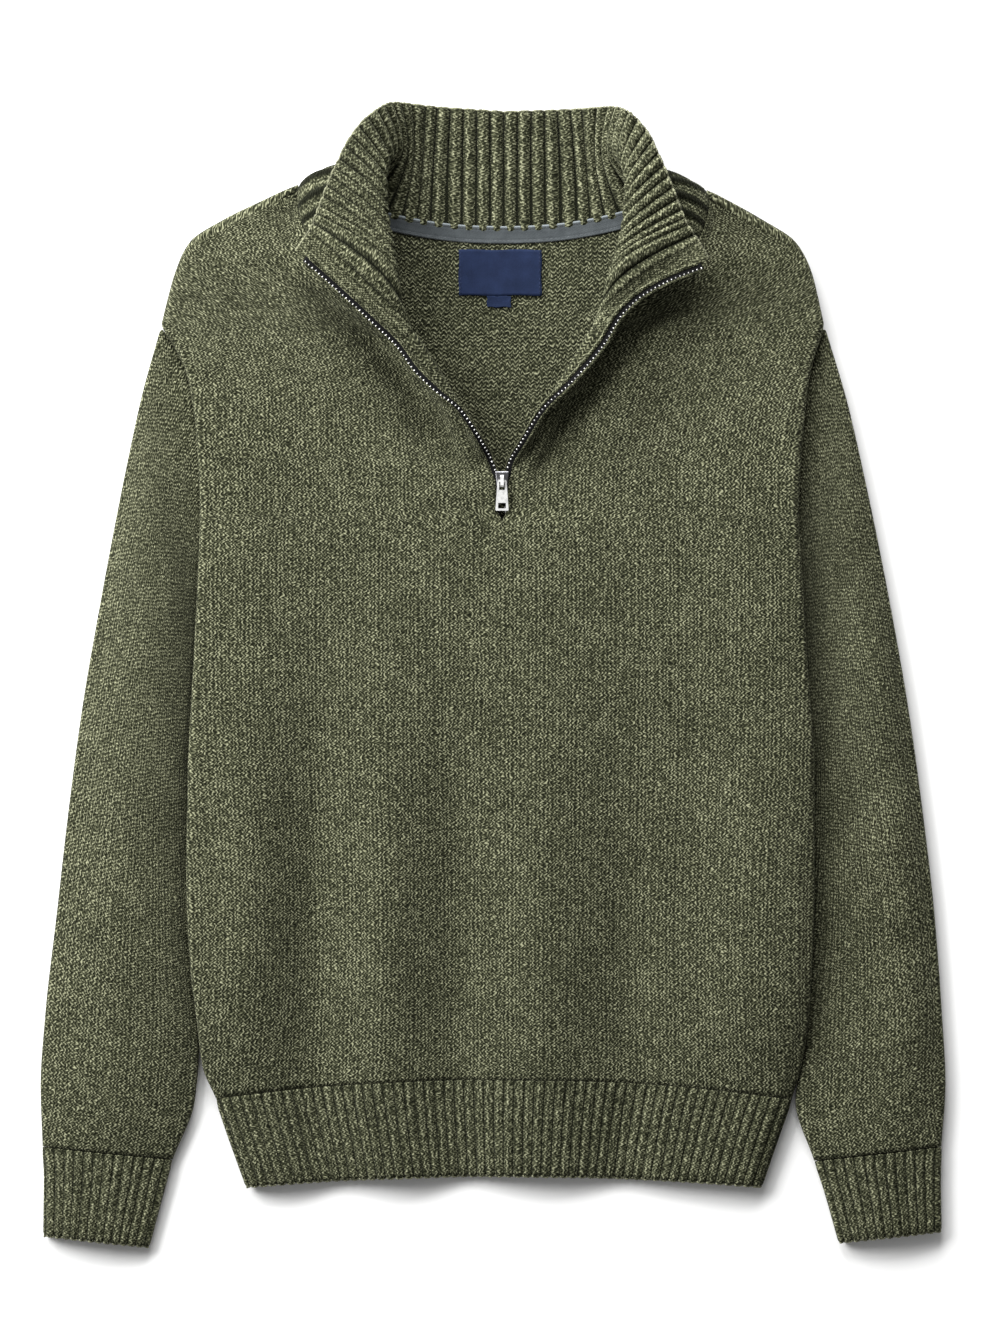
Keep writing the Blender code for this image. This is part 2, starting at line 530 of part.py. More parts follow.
def collar_surface(side, stations, across):
    """Points of the collar at stations from the centre back and at heights 0 to 1."""
    table = collar_stations(side)
    lines = [np.stack([table[name + axis] for axis in ("_x", "_y", "_z")], -1)
             for name in ("seam", "fold", "edge")]
    spacing = np.mean([lengths(line) for line in lines], axis=0)
    places = curve(np.arange(len(spacing)), spacing, stations)
    push = np.interp(stations, *np.array(COLLAR_BULGE[side]).T)
    way = np.array([-BULGE_WAY[0] if side == "left" else BULGE_WAY[0], *BULGE_WAY[1:]])
    grid = []
    for seam, fold, edge, out in zip(*[natural(spacing, line, places) for line in lines], push):
        low, high = np.linalg.norm(fold - seam), np.linalg.norm(edge - fold)
        crest = low / (low + high)
        points = natural([0.0, crest, 1.0], [seam, fold, edge], across)
        swell = np.sin(np.pi * np.clip(np.asarray(across) / crest, 0, 1) ** BULGE_LOW) ** 1.2
        grid.append(points + swell[:, None] * way * out)
    return np.array(grid)


# ---------------------------------------------------------------- building
def material(name, colour, roughness, metallic=0.0):
    """Principled material of one colour."""
    made = bpy.data.materials.new(name)
    made.use_nodes = True
    shader = made.node_tree.nodes["Principled BSDF"]
    shader.inputs["Base Color"].default_value = (*colour, 1.0)
    shader.inputs["Roughness"].default_value = roughness
    shader.inputs["Metallic"].default_value = metallic
    return made


def add_object(name, bm, look):
    """Object from a bmesh in millimetres, with its own material."""
    bmesh.ops.scale(bm, vec=(MM, MM, MM), verts=bm.verts)
    mesh = bpy.data.meshes.new(name)
    bm.to_mesh(mesh)
    bm.free()
    mesh.materials.append(look)
    mesh.shade_smooth()
    mesh.set_sharp_from_angle(angle=math.radians(50))
    made = bpy.data.objects.new(name, mesh)
    garment.objects.link(made)
    return made


def loft(bm, rows, closed=False):
    """Quads between rows of points; a short row ends the columns past it."""
    made = [[bm.verts.new(point) for point in row] for row in rows]
    for low, high in zip(made, made[1:]):
        count = min(len(low), len(high))
        for i in range(count if closed else count - 1):
            j = (i + 1) % count
            bm.faces.new((low[i], low[j], high[j], high[i]))
    return made


def wall(made, thickness=WALL):
    """Turn a middle surface into cloth of one thickness."""
    shell = made.modifiers.new("Wall", "SOLIDIFY")
    shell.thickness = thickness * MM
    shell.offset = 0.0
    shell.use_even_offset = False
    return made


def trimmed(rows, first=SEAM / 2, last=SEAM / 2):
    """Rows with the two outer ones drawn in by the gap at their seams."""
    rows = [np.array(row, float) for row in rows]
    n = min(len(rows[0]), len(rows[1]))
    rows[0][:n] += unit(rows[1][:n] - rows[0][:n]) * first
    n = min(len(rows[-1]), len(rows[-2]))
    rows[-1][:n] += unit(rows[-2][:n] - rows[-1][:n]) * last
    return rows


def build_front():
    """Front: two halves joined below the slit."""
    bm = bmesh.new()
    for side in ("left", "right"):
        rows = trimmed(front_half(side), last=0.0)
        straight = len(STRAIGHT_ROWS)
        for i, row in enumerate(rows):
            row[0] += unit(row[1] - row[0]) * SIDE_GAP / 2
            if i >= straight:
                row[-1] += unit(row[-2] - row[-1]) * SEAM / 2
        if side == "right":
            loft_from_end(bm, [row[::-1] for row in rows])
        else:
            loft(bm, rows)
    bmesh.ops.remove_doubles(bm, verts=bm.verts, dist=0.001)
    made = add_object("front", bm, material("front knit", OLIVE, 0.95))
    return wall(made)


def loft_from_end(bm, rows):
    """Quads between rows that share their last columns."""
    made = [[bm.verts.new(point) for point in row] for row in rows]
    for low, high in zip(made, made[1:]):
        count = min(len(low), len(high))
        low, high = low[len(low) - count:], high[len(high) - count:]
        for i in range(count - 1):
            bm.faces.new((low[i], low[i + 1], high[i + 1], high[i]))
    return made


def neckline(x):
    """Height in the plane of the back neck seam."""
    return NECK_LOW + NECK_RISE * np.abs((x - NECK_MIDDLE) / NECK_HALF) ** NECK_POWER


def back_edge(y, side):
    """Where the back's edge ends: its plan position and its height."""
    at = {k: v[0] for k, v in outline(np.array([y]), side).items()}
    turn = math.radians(SIDE_TURN)
    inset = WALL / 2 + at["roll_r"] * (1 - math.cos(turn))
    z = at["roll_z"] + at["roll_r"] * math.sin(turn)
    opened = np.interp(y, ARMPIT, (0.0, 1.0)) * np.interp(y, SHOULDER, (1.0, 0.0))
    z = z + (FLOOR - z) * (0.5 - 0.5 * math.cos(math.pi * opened))
    plan = np.array([at["x"], y]) - at["out"] * (inset + 1.3 * min(1.0, 2 * opened))
    return plan, z


def tilt(y):
    """How much lower a row's right end is than its left one."""
    return TILT * max(0.0, (y - 300.0) / (BACK_ROWS[-1] - 300.0))


def back_row(y):
    """Points of one row of the back, from its left edge to its right one."""
    left, left_z = back_edge(y, "left")
    right, right_z = back_edge(y - tilt(y), "right")
    width = right[0] - left[0]
    near = np.array(NEAR_EDGE) * min(1.0, 0.38 * width / NEAR_EDGE[-1])
    inner = width - 2 * near[-1]
    across = np.concatenate([near, near[-1] + inner * np.array(BETWEEN), width - near[::-1]])
    sag = np.interp(y, [-297, -200], [14.2, 0.0])
    row = []
    for a in across:
        x = left[0] + a
        straight = left[1] + (right[1] - left[1]) * a / width
        limit = BACK_ROWS[-1] - TILT * (x + NECK_HALF) / (2 * NECK_HALF)
        stretch = (min(neckline(x), limit) - NECK_BEND) / (limit - NECK_BEND)
        if straight > NECK_BEND:
            straight = NECK_BEND + (straight - NECK_BEND) * stretch
        z = FLOOR
        for away, end_z in ((a, left_z), (width - a, right_z)):
            reach = max(2.0 * (end_z - FLOOR), 0.1)
            z += (end_z - FLOOR) * max(0.0, 1 - away / reach) ** 2
        row.append([x, straight + sag * (1 - (2 * a / width - 1) ** 2), z])
    return row


def build_back():
    """Back: flat on the ground, its edges rising to the side and shoulder seams."""
    bm = bmesh.new()
    rows = trimmed([back_row(y) for y in BACK_ROWS], SEAM / 2, SEAM)
    for row in rows:
        row[0] += unit(row[1] - row[0]) * SIDE_GAP / 2
        row[-1] += unit(row[-2] - row[-1]) * SIDE_GAP / 2
    loft(bm, rows)
    made = add_object("back", bm, material("back knit", OLIVE_DARK, 0.95))
    return wall(made)


def build_collar():
    """Collar: one strip from the left front edge round the back to the right one."""
    bm = bmesh.new()
    left = collar_surface("left", np.array(COLLAR_ROWS), np.array(COLLAR_ACROSS))
    right = collar_surface("right", np.array(COLLAR_ROWS), np.array(COLLAR_ACROSS))
    rows = np.concatenate([left[::-1], right[1:]])
    stations = COLLAR_ROWS[::-1] + COLLAR_ROWS[1:]
    for row, station in zip(rows, stations):
        row[0] += unit(row[1] - row[0]) * np.interp(station, COLLAR_GAP_AT, COLLAR_GAP)
    loft(bm, rows)
    made = add_object("collar", bm, material("collar rib", OLIVE_RIB, 0.95))
    return wall(made)


def crown(s, shape):
    """Share of the crown's height across a tube, from its lean and its fullness."""
    lean, full = shape
    turned = s ** lean
    return math.sin(math.pi * turned) ** (full if turned < 0.5 else 0.95)


def tube_row(row, shape=(1.0, 0.95), seam_line=None, pull=0.0):
    """Closed loop of a flattened tube between its inner and outer edges."""
    inner = np.array([row["inner_x"], row["inner_y"]])
    outer = np.array([row["outer_x"], row["outer_y"]])
    along = unit(outer - inner)
    length = np.linalg.norm(outer - inner)
    radius = (row["edge_h"] - WALL) / 2
    a = WALL / 2 + radius
    dome = row["crown_h"] - row["edge_h"]
    loop = []

    def place(distance, z):
        plan = inner + along * distance
        if seam_line is not None:
            plan = plan + pull * (seam_line(distance / length) - plan)
            z = FLOOR + (z - FLOOR) * (1 - 0.4 * pull * np.interp(distance / length, (0.72, 0.96), (0, 1)))
        loop.append([plan[0], plan[1], z])

    for s in (0.2, 0.5, 0.8):
        place(a + (length - 2 * a) * s, FLOOR)
    for turn in ARC:
        place(length - a + radius * math.cos(turn), FLOOR + radius * (1 + math.sin(turn)))
    for s in (0.86, 0.68, 0.5, 0.32, 0.14):
        place(a + (length - 2 * a) * s, FLOOR + 2 * radius + dome * crown(s, shape))
    for turn in ARC[::-1]:
        place(a - radius * math.cos(turn), FLOOR + radius * (1 + math.sin(turn)))
    return loop


def armhole_line(side):
    """Plan of the armhole seam from the armpit up to the top of the sleeve."""
    def line(s):
        y = ARMPIT[0] + (243.5 - ARMPIT[0]) * s
        x = curve(SIDES["y"], SIDES[side], np.array([y]))[0]
        under = 3.0 * min(1.0, (y - ARMPIT[0]) / 40.0)
        return np.array([x + (under if side == "left" else -under), y])
    return line


def build_sleeve(side):
    """Sleeve: a flattened tube from the armhole to the cuff seam."""
    table = columns(SLEEVE_LEFT if side == "left" else SLEEVE_RIGHT, SLEEVE_COLUMNS)
    keys = np.arange(len(table["inner_x"]))
    rows = []
    for k in SLEEVE_ROWS:
        row = {name: float(curve(keys, table[name], np.array([k]))[0]) for name in SLEEVE_COLUMNS}
        shape = [np.interp(k, SLEEVE_SHAPE_AT, values[side]) for values in (SLEEVE_LEAN, SLEEVE_FULL)]
        rows.append(tube_row(row, shape, armhole_line(side), max(0.0, 1 - k) ** 2))
    bm = bmesh.new()
    loft(bm, trimmed(rows), closed=True)
    made = add_object("sleeve_" + side, bm, material("sleeve knit " + side, OLIVE, 0.95))
    bmesh_outward(made)
    return wall(made)


def bmesh_outward(made):
    """Face a tube's surface outward before it gets its wall."""
    bm = bmesh.new()
    bm.from_mesh(made.data)
    bmesh.ops.recalc_face_normals(bm, faces=bm.faces)
    bm.to_mesh(made.data)
    bm.free()


def build_cuff(side):
    """Cuff: a ribbed band on the sleeve's end."""
    table = columns(CUFF_LEFT if side == "left" else CUFF_RIGHT, CUFF_COLUMNS)
    keys = np.arange(len(table["inner_x"]))
    rows = []
    for k in (0, 1, 2):
        row = {name: float(curve(keys, table[name], np.array([k]))[0]) for name in CUFF_COLUMNS}
        rows.append(tube_row(row))
    bm = bmesh.new()
    loft(bm, trimmed(rows, SEAM / 2, 0.0), closed=True)
    made = add_object("cuff_" + side, bm, material("cuff rib " + side, OLIVE_RIB, 0.95))
    bmesh_outward(made)
    return wall(made)


def build_hem():
    """Hem: one ribbed band, front and back, all round the body."""
    table = columns(HEM, HEM_COLUMNS)
    left, right = front_half("left")[0], front_half("right")[0]
    under = back_row(BACK_ROWS[0])
    section = np.array(left + right[-2::-1] + under[-3:1:-1])
    x = section[:, 0]
    rows = []
    for k in (0, 0.6, 1.2, 2):
        row = {name: float(curve(np.arange(len(HEM)), table[name], np.array([k]))[0]) for name in HEM_COLUMNS}
        u = (x - HEM[0][2]) / (HEM[0][3] - HEM[0][2])
        y = row["y_side"] + (row["y_middle"] - row["y_side"]) * (1 - (2 * u - 1) ** 2)
        y = section[:, 1] - SEAM if k == 0 else y
        z = FLOOR + (section[:, 2] - FLOOR) * row["height"]
        rows.append(np.stack([row["left"] + u * (row["right"] - row["left"]), y, z], -1))
    bm = bmesh.new()
    loft(bm, rows, closed=True)
    made = add_object("hem", bm, material("hem rib", OLIVE_RIB, 0.95))
    bmesh_outward(made)
    return wall(made)


# ---------------------------------------------------------------- trims on the back
def build_neck_tape():
    """Neck tape: a narrow strip over the back neck seam, half on the back, half on the collar."""
    bm = bmesh.new()
    lift = WALL / 2 + SEAM + TRIM_THICK / 2
    rows = []
    for side, turns in (("left", NECK_TAPE_STATIONS[::-1]), ("right", NECK_TAPE_STATIONS[1:])):
        for k in turns:
            line = collar_surface(side, np.array([k]), np.linspace(0, 0.2, 21))[0]
            along = np.concatenate([[0], np.cumsum(np.linalg.norm(np.diff(line, axis=0), axis=1))])
            upper = [[np.interp(a, along, line[:, i]) for i in range(3)] for a in (3.0, NECK_TAPE_WIDTH / 2)]
            seam = line[0]
            x = seam[0]
            slope = (neckline(x + 1) - neckline(x - 1)) / 2
            down = np.array([slope, -1.0, 0.0]) / math.hypot(slope, 1.0)
            row = [seam + down * NECK_TAPE_WIDTH / 2, seam + down * 1.5] + [np.array(p) for p in upper]
            rise = np.array([0, 0, 0.25, 0.45]) + lift
            rows.append([p + np.array([0, 0, r]) for p, r in zip(row, rise)])
    loft(bm, rows)
    made = add_object("neck_tape", bm, material("neck tape twill", TWILL, 0.8))
    return wall(made, TRIM_THICK)


def build_plate(name, box, look):
    """Flat woven label on the inner face of the back."""
    left, right, bottom, top = box
    bpy.ops.mesh.primitive_cube_add(size=1.0)
    made = bpy.context.object
    made.name = made.data.name = name
    made.scale = ((right - left) * MM, (top - bottom) * MM, TRIM_THICK * MM)
    made.location = ((left + right) / 2 * MM, (bottom + top) / 2 * MM, (WALL + SEAM + TRIM_THICK / 2) * MM)
    bpy.ops.object.transform_apply(location=False, rotation=False, scale=True)
    made.data.materials.append(look)
    for owner in list(made.users_collection):
        owner.objects.unlink(made)
    garment.objects.link(made)
    return made


# ---------------------------------------------------------------- zip
def collar_tape_row(side, height, lift):
    """Three points across the tape on the collar's end, moved out from its surface."""
    near = np.array([max(height - 0.03, 0.0), height, min(height + 0.03, 1.0)])
    grid = collar_surface(side, np.linspace(11.0, 16.0, 41), near)[::-1]
    line, up_strip = grid[:, 1], unit(grid[:, 2] - grid[:, 0])
    inward = lengths(line)
    reach = np.interp(height, *np.array(COLLAR_REACH[side]).T)
    first = unit(line[2] - line[0])
    rise = up_strip[int(np.searchsorted(inward, 1.0))]
    normal = unit(np.cross(line[int(np.searchsorted(inward, 2.0))] - line[0], rise))
    normal = normal if normal[2] > 0 else -normal
    points = []
    for w in TAPE_ACROSS:
        spot = np.array([np.interp(w - reach, inward, line[:, i]) for i in range(3)])
        points.append(spot + first * min(w - reach, 0.0) + normal * lift)
    return points


def build_zip_tape(side):
    """Zip tape: a ribbon on the inner side of the opening's edge."""
    edge = placket(side)
    table = columns(TAPE_ROWS, TAPE_COLUMNS)
    toward = toward_zip(edge["x"], edge["y"], side)
    base = WALL / 2 + SEAM + TAPE_THICK / 2
    first = turned_row({k: v[0] for k, v in edge.items()}, toward[0], side)[-1]
    ends = [(np.array(first) - (0.0, TAPE_BELOW, 0.6), 0.0, toward[0])]
    for i in range(len(edge["x"])):
        end = turned_row({k: v[i] for k, v in edge.items()}, toward[i], side)[-1]
        ends.append((np.array(end), math.radians(edge["turn"][i]), toward[i]))
    rows = []
    for i, (end, turn, plan) in enumerate(ends):
        reach = np.interp(i, table["row"], table["reach"])
        lift = base + np.interp(i, table["row"], table["lift"])
        way = np.array([plan[0] * math.cos(turn), plan[1] * math.cos(turn), math.sin(turn)])
        inner = np.array([plan[0] * math.sin(turn), plan[1] * math.sin(turn), -math.cos(turn)])
        rows.append([end + way * (reach - w) + inner * lift for w in TAPE_ACROSS])
    for height in np.array(TAPE_HEIGHTS) * COLLAR_ZIP_TOP[side]:
        rows.append(collar_tape_row(side, height, base + 0.2))
    bm = bmesh.new()
    loft(bm, rows)
    made = add_object("zip_tape_" + side, bm, material("zip tape " + side, BLACK, 0.7))
    return wall(made, TAPE_THICK)


def build_slider():
    """Slider: a wedge body, wider at its mouth."""
    bm = bmesh.new()
    wide, narrow = SLIDER_WIDTHS[0] / 2, SLIDER_WIDTHS[1] / 2
    top, foot = SLIDER_TOP, SLIDER_TOP - SLIDER_LENGTH
    low, high = SLIDER_Z - SLIDER_THICK / 2, SLIDER_Z + SLIDER_THICK / 2
    made = bmesh.ops.create_cube(bm, size=1.0)["verts"]
    for v in made:
        half = wide if v.co.y > 0 else narrow
        across = CENTRE + math.copysign(half, v.co.x)
        v.co = (across, top if v.co.y > 0 else foot, high if v.co.z > 0 else low)
    made = add_object("slider", bm, material("slider metal", GUNMETAL, 0.35, 1.0))
    soft = made.modifiers.new("Edges", "BEVEL")
    soft.width = 0.8 * MM
    soft.segments = 2
    return made


def build_bridge():
    """Bridge: the bar on the slider that holds the pull tab."""
    top = SLIDER_Z + SLIDER_THICK / 2 + SEAM
    profile = ((-4.4, 0.0), (-4.4, 2.4), (-3.2, 3.6), (2.6, 3.6), (4.0, 2.2), (4.0, 0.0),
               (3.0, 0.0), (3.0, 1.9), (2.2, 2.7), (-2.8, 2.7), (-3.5, 2.0), (-3.5, 0.0))
    bm = bmesh.new()
    for side in (-1, 1):
        for y, z in profile:
            bm.verts.new((CENTRE + side * BRIDGE_WIDTH / 2, HINGE_Y + y, top + z))
    bm.verts.ensure_lookup_table()
    n = len(profile)
    left, right = bm.verts[:n], bm.verts[n:]
    bm.faces.new(left)
    bm.faces.new(right[::-1])
    for i in range(n):
        j = (i + 1) % n
        bm.faces.new((left[j], left[i], right[i], right[j]))
    bmesh.ops.recalc_face_normals(bm, faces=bm.faces)
    return add_object("slider_bridge", bm, material("bridge metal", STEEL, 0.25, 1.0))


def build_pull():
    """Pull tab: a flat tapered plate with a slot at its head and a window at its foot."""
    flat = bpy.data.curves.new("pull outline", "CURVE")
    flat.dimensions = "2D"
    flat.fill_mode = "BOTH"
    flat.extrude = PULL_THICK / 2 * MM
    head, foot = PULL_WIDTHS[0] / 2, PULL_WIDTHS[1] / 2
    top, bottom = PULL_BAR, PULL_BAR - PULL_LENGTH
    slot_top, slot_foot, slot_half = -PULL_BAR, -6.4, 2.0
    win_top, win_foot, win_half = bottom + 5.4, bottom + 1.5, 2.7
    loops = (
        ((-head + 0.6, top), (head - 0.6, top), (head, top - 0.8), (foot, bottom + 0.5), (foot - 0.5, bottom),
         (-foot + 0.5, bottom), (-foot, bottom + 0.5), (-head, top - 0.8)),
        ((-slot_half, slot_top), (-slot_half, slot_foot), (slot_half, slot_foot), (slot_half, slot_top)),
        ((-win_half, win_top), (-win_half, win_foot), (win_half, win_foot), (win_half, win_top)),
    )
    for points in loops:
        line = flat.splines.new("POLY")
        line.points.add(len(points) - 1)
        for spot, (x, y) in zip(line.points, points):
            spot.co = (x * MM, y * MM, 0.0, 1.0)
        line.use_cyclic_u = True
    drawn = bpy.data.objects.new("pull outline", flat)
    garment.objects.link(drawn)
    mesh = bpy.data.meshes.new_from_object(drawn.evaluated_get(bpy.context.evaluated_depsgraph_get()))
    bpy.data.objects.remove(drawn)
    bm = bmesh.new()
    bm.from_mesh(mesh)
    bmesh.ops.remove_doubles(bm, verts=bm.verts, dist=1e-7)
    bmesh.ops.recalc_face_normals(bm, faces=bm.faces)
    bm.to_mesh(mesh)
    bm.free()
    mesh.materials.clear()
    mesh.materials.append(material("pull metal", STEEL, 0.2, 1.0))
    made = bpy.data.objects.new("pull_tab", mesh)
    mesh.name = "pull_tab"
    garment.objects.link(made)
    made.location = (CENTRE * MM, HINGE_Y * MM, HINGE_Z * MM)
    made.rotation_euler = (math.radians(PULL_DROOP), 0.0, 0.0)
    return made


for old in list(bpy.data.objects):
    bpy.data.objects.remove(old)
garment = bpy.data.collections.new("quarter zip sweater")
bpy.context.scene.collection.children.link(garment)
build_back()
build_front()
build_hem()
for half in ("left", "right"):
    build_sleeve(half)
    build_cuff(half)
build_collar()
build_neck_tape()
build_plate("label", LABEL, material("label weave", NAVY, 0.6))
build_plate("size_tab", SIZE_TAB, material("size tab weave", NAVY, 0.6))
for half in ("left", "right"):
    build_zip_tape(half)
build_slider()
build_bridge()
build_pull()
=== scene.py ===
import math

import bmesh
import bpy
import numpy as np
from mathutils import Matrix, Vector, kdtree


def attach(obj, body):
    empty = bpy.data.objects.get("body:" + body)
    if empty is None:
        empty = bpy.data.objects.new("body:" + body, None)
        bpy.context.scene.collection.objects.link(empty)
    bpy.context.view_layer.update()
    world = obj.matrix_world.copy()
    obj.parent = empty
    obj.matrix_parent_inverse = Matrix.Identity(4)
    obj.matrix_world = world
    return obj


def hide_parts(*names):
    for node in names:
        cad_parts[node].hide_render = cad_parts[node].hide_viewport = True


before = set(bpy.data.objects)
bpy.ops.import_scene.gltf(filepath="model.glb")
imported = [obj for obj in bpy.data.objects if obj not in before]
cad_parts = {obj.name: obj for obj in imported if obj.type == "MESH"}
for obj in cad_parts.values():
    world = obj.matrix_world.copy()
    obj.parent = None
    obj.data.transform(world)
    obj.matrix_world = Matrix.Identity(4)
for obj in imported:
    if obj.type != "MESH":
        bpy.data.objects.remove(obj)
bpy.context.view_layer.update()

# ------------------------------------------------------------------ table, light and camera
# The sweater lies on a pale table. Two soft windows of light stand low at its left and beyond
# its collar, and pale walls fill the rest. The camera hangs straight above and looks down.
CAMERA_HEIGHT = 5.0
PICTURE_MIDDLE = (0.0049, 0.0063)
PICTURE_HEIGHT = 0.9331
WINDOWS = (                                  # way toward it, rise, size and power
    ("left_window", (-0.86, 0.51), 31.0, 1.6, 139.0),
    ("far_window", (-0.12, 0.99), 29.0, 1.5, 110.0),
)
WINDOW_AWAY = 2.6
WALLS = 0.26
TABLE_HALF, TABLE_DOWN = 6.0, 0.0003
TABLE_TONES = (0.3, (0.90, 0.90, 0.895)), (0.7, (0.92, 0.92, 0.915))


def wired(tree, kind, *values, **settings):
    """Node with its settings, its inputs set or linked in order; gives its first output."""
    node = tree.nodes.new(kind)
    for key, value in settings.items():
        setattr(node, key, value)
    for socket, value in zip(node.inputs, values):
        if isinstance(value, bpy.types.NodeSocket):
            tree.links.new(value, socket)
        elif value is not None:
            socket.default_value = value
    return node.outputs[0]


def object_place(tree):
    """Place on the object itself, as the shader's texture coordinate."""
    return wired(tree, "ShaderNodeTexCoord").node.outputs["Object"]


def noise_at(tree, place, scale, detail):
    """Noise at a place, from its scale and detail."""
    return wired(tree, "ShaderNodeTexNoise", place, None, scale, detail)


def finish_of(name, roughness, metallic=0.0, sheen=0.0, specular=0.5):
    """Principled material with its constants, and its tree and shader."""
    made = bpy.data.materials.new(name)
    made.use_nodes = True
    shader = made.node_tree.nodes["Principled BSDF"]
    shader.inputs["Roughness"].default_value = roughness
    shader.inputs["Metallic"].default_value = metallic
    shader.inputs["Sheen Weight"].default_value = sheen
    shader.inputs["Specular IOR Level"].default_value = specular
    return made, made.node_tree, shader


def graded(tree, value, goal, *stops):
    """Links a value to a shader's socket through a ramp of (place, colour) stops."""
    colour = wired(tree, "ShaderNodeValToRGB", value)
    bar = colour.node.color_ramp
    while len(bar.elements) < len(stops):
        bar.elements.new(0.5)
    for element, (place, tint) in zip(bar.elements, stops):
        element.position = place
        element.color = (*tint, 1.0)
    tree.links.new(colour, goal)


def mesh_of(name, bm):
    """Mesh of a finished bmesh, which it frees."""
    mesh = bpy.data.meshes.new(name)
    bm.to_mesh(mesh)
    bm.free()
    return mesh


def in_scene(name, data):
    """Object of some data, linked into the scene."""
    made = bpy.data.objects.new(name, data)
    bpy.context.scene.collection.objects.link(made)
    return made


table_bm = bmesh.new()
bmesh.ops.create_grid(table_bm, x_segments=8, y_segments=8, size=TABLE_HALF)
table = in_scene("table", mesh_of("table", table_bm))
table.data.transform(Matrix.Translation((0.0, 0.0, -TABLE_DOWN)))
table_look, tree, shader = finish_of("table white", 0.8, specular=0.2)
cloudy = noise_at(tree, object_place(tree), 3.0, 2.0)
graded(tree, cloudy, shader.inputs["Base Color"], *TABLE_TONES)
table.data.materials.append(table_look)

for name, way, rise, size, power in WINDOWS:
    rise = math.radians(rise)
    toward = Vector((*way, 0.0)).normalized() * math.cos(rise) + Vector((0.0, 0.0, math.sin(rise)))
    pane = bpy.data.lights.new(name, "AREA")
    pane.shape = "SQUARE"
    pane.size = size
    pane.energy = power
    window = in_scene(name, pane)
    window.location = toward * WINDOW_AWAY
    window.rotation_mode = "QUATERNION"
    window.rotation_quaternion = toward.to_track_quat("Z", "Y")

walls = bpy.data.worlds.new("walls")
walls.use_nodes = True
walls.node_tree.nodes["Background"].inputs["Color"].default_value = (1.0, 1.0, 1.0, 1.0)
walls.node_tree.nodes["Background"].inputs["Strength"].default_value = WALLS
bpy.context.scene.world = walls
bpy.context.scene.view_settings.view_transform = "Standard"

lens = bpy.data.cameras.new("camera")
lens.lens = lens.sensor_width * CAMERA_HEIGHT / PICTURE_HEIGHT
camera = in_scene("camera", lens)
camera.location = (*PICTURE_MIDDLE, CAMERA_HEIGHT)
bpy.context.scene.camera = camera

# ------------------------------------------------------------------ back panel
# Plain knit back, its purl side showing through the open neck. It lies flat on the table and
# its edges rise to the side and shoulder seams. Tables here and below are in millimetres.
WALL = 3.0
FLOOR = WALL / 2
SIDE_TURN = -45.0
OUTLINE_COLUMNS = ("y", "left", "right", "roll_z", "roll_r", "crest", "middle")
OUTLINE = (
    (-297, -193.0, 208.5, 6.2, 4.2, 11.5, 10.0),
    (-273, -203.0, 215.5, 9.2, 3.9, 15.0, 10.8),
    (-240, -207.0, 220.5, 14.2, 3.8, 20.0, 11.5),
    (-206, -211.0, 222.5, 16.9, 3.6, 22.0, 12.3),
    (-144, -214.0, 224.5, 17.3, 3.5, 22.5, 13.2),
    (-70, -213.0, 224.5, 17.3, 3.5, 22.0, 14.8),
    (10, -209.0, 219.5, 17.3, 3.5, 21.5, 16.4),
    (60, -206.5, 216.5, 17.3, 3.5, 21.5, 16.8),
    (115, -204.5, 213.5, 17.2, 3.6, 21.0, 16.6),
    (167, -207.0, 216.5, 16.5, 3.6, 19.5, 16.0),
    (200, -211.5, 220.0, 14.7, 3.5, 18.0, 15.6),
    (215, -215.5, 222.5, 13.0, 3.6, 17.0, 15.4),
    (230, -223.0, 227.0, 12.0, 3.4, 16.2, 15.2),
    (246, -231.5, 231.0, 10.6, 3.6, 15.5, 15.0),
    (265, -227.0, 227.0, 8.8, 4.4, 14.8, 14.5),
    (281, -222.5, 223.0, 8.2, 5.0, 14.6, 14.4),
    (303, -212.0, 211.5, 8.0, 5.0, 14.4, 14.2),
    (320, -186.0, 186.0, 8.0, 5.0, 14.0, 13.8),
    (331, -163.5, 166.5, 7.2, 4.0, 12.4, 12.4),
    (344, -136.5, 142.0, 5.2, 2.0, 7.6, 7.6),
)
NECK_LOW, NECK_RISE, NECK_HALF, NECK_MIDDLE, NECK_POWER = 308.0, 34.0, 143.0, 7.0, 2.2
ARMPIT, SHOULDER = (62.0, 92.0), (246.0, 268.0)
DIP_START, BACK_TOP, TILT, TILT_FROM = 190.0, 342.5, 4.0, 300.0
BACK_STEP, BACK_TOP_ROWS, BACK_POINTS, NEAR_SHARE = 6.0, 32, 36, 0.38
ARMPIT_INSET = 1.3
BODY_LOW, SAG_AT, SAG = -296.9, (-297, -200), (14.2, 0.0)      # the hem seam sags at its middle
NEAR_EDGE = (0.0, 1.0, 2.2, 3.8, 5.8, 8.0, 11.0, 15.0, 20.0, 26.0, 33.0, 42.0, 55.0, 70.0, 85.0,
             100.0)
MARL_DARK, MARL_MIDDLE, MARL_LIGHT = ((0.0042, 0.0049, 0.0018), (0.0295, 0.0315, 0.0165),
                                      (0.27, 0.275, 0.175))
STRAY, LOOP_TONE, CURL_TONE, CURL_SCALE = 0.0040, 0.42, 0.22, 320.0
FLECKS, CLOUDS = (560.0, 1.0, 0.8), (22.0, 2.0, 0.16)          # scale, detail and tone
DRAWN = (1.9, 0.6, 1.0)                      # strands drawn along the ribs


def columns(table, names):
    """The table's columns by name, as arrays."""
    data = np.array(table, dtype=float)
    return {name: data[:, i] for i, name in enumerate(names)}


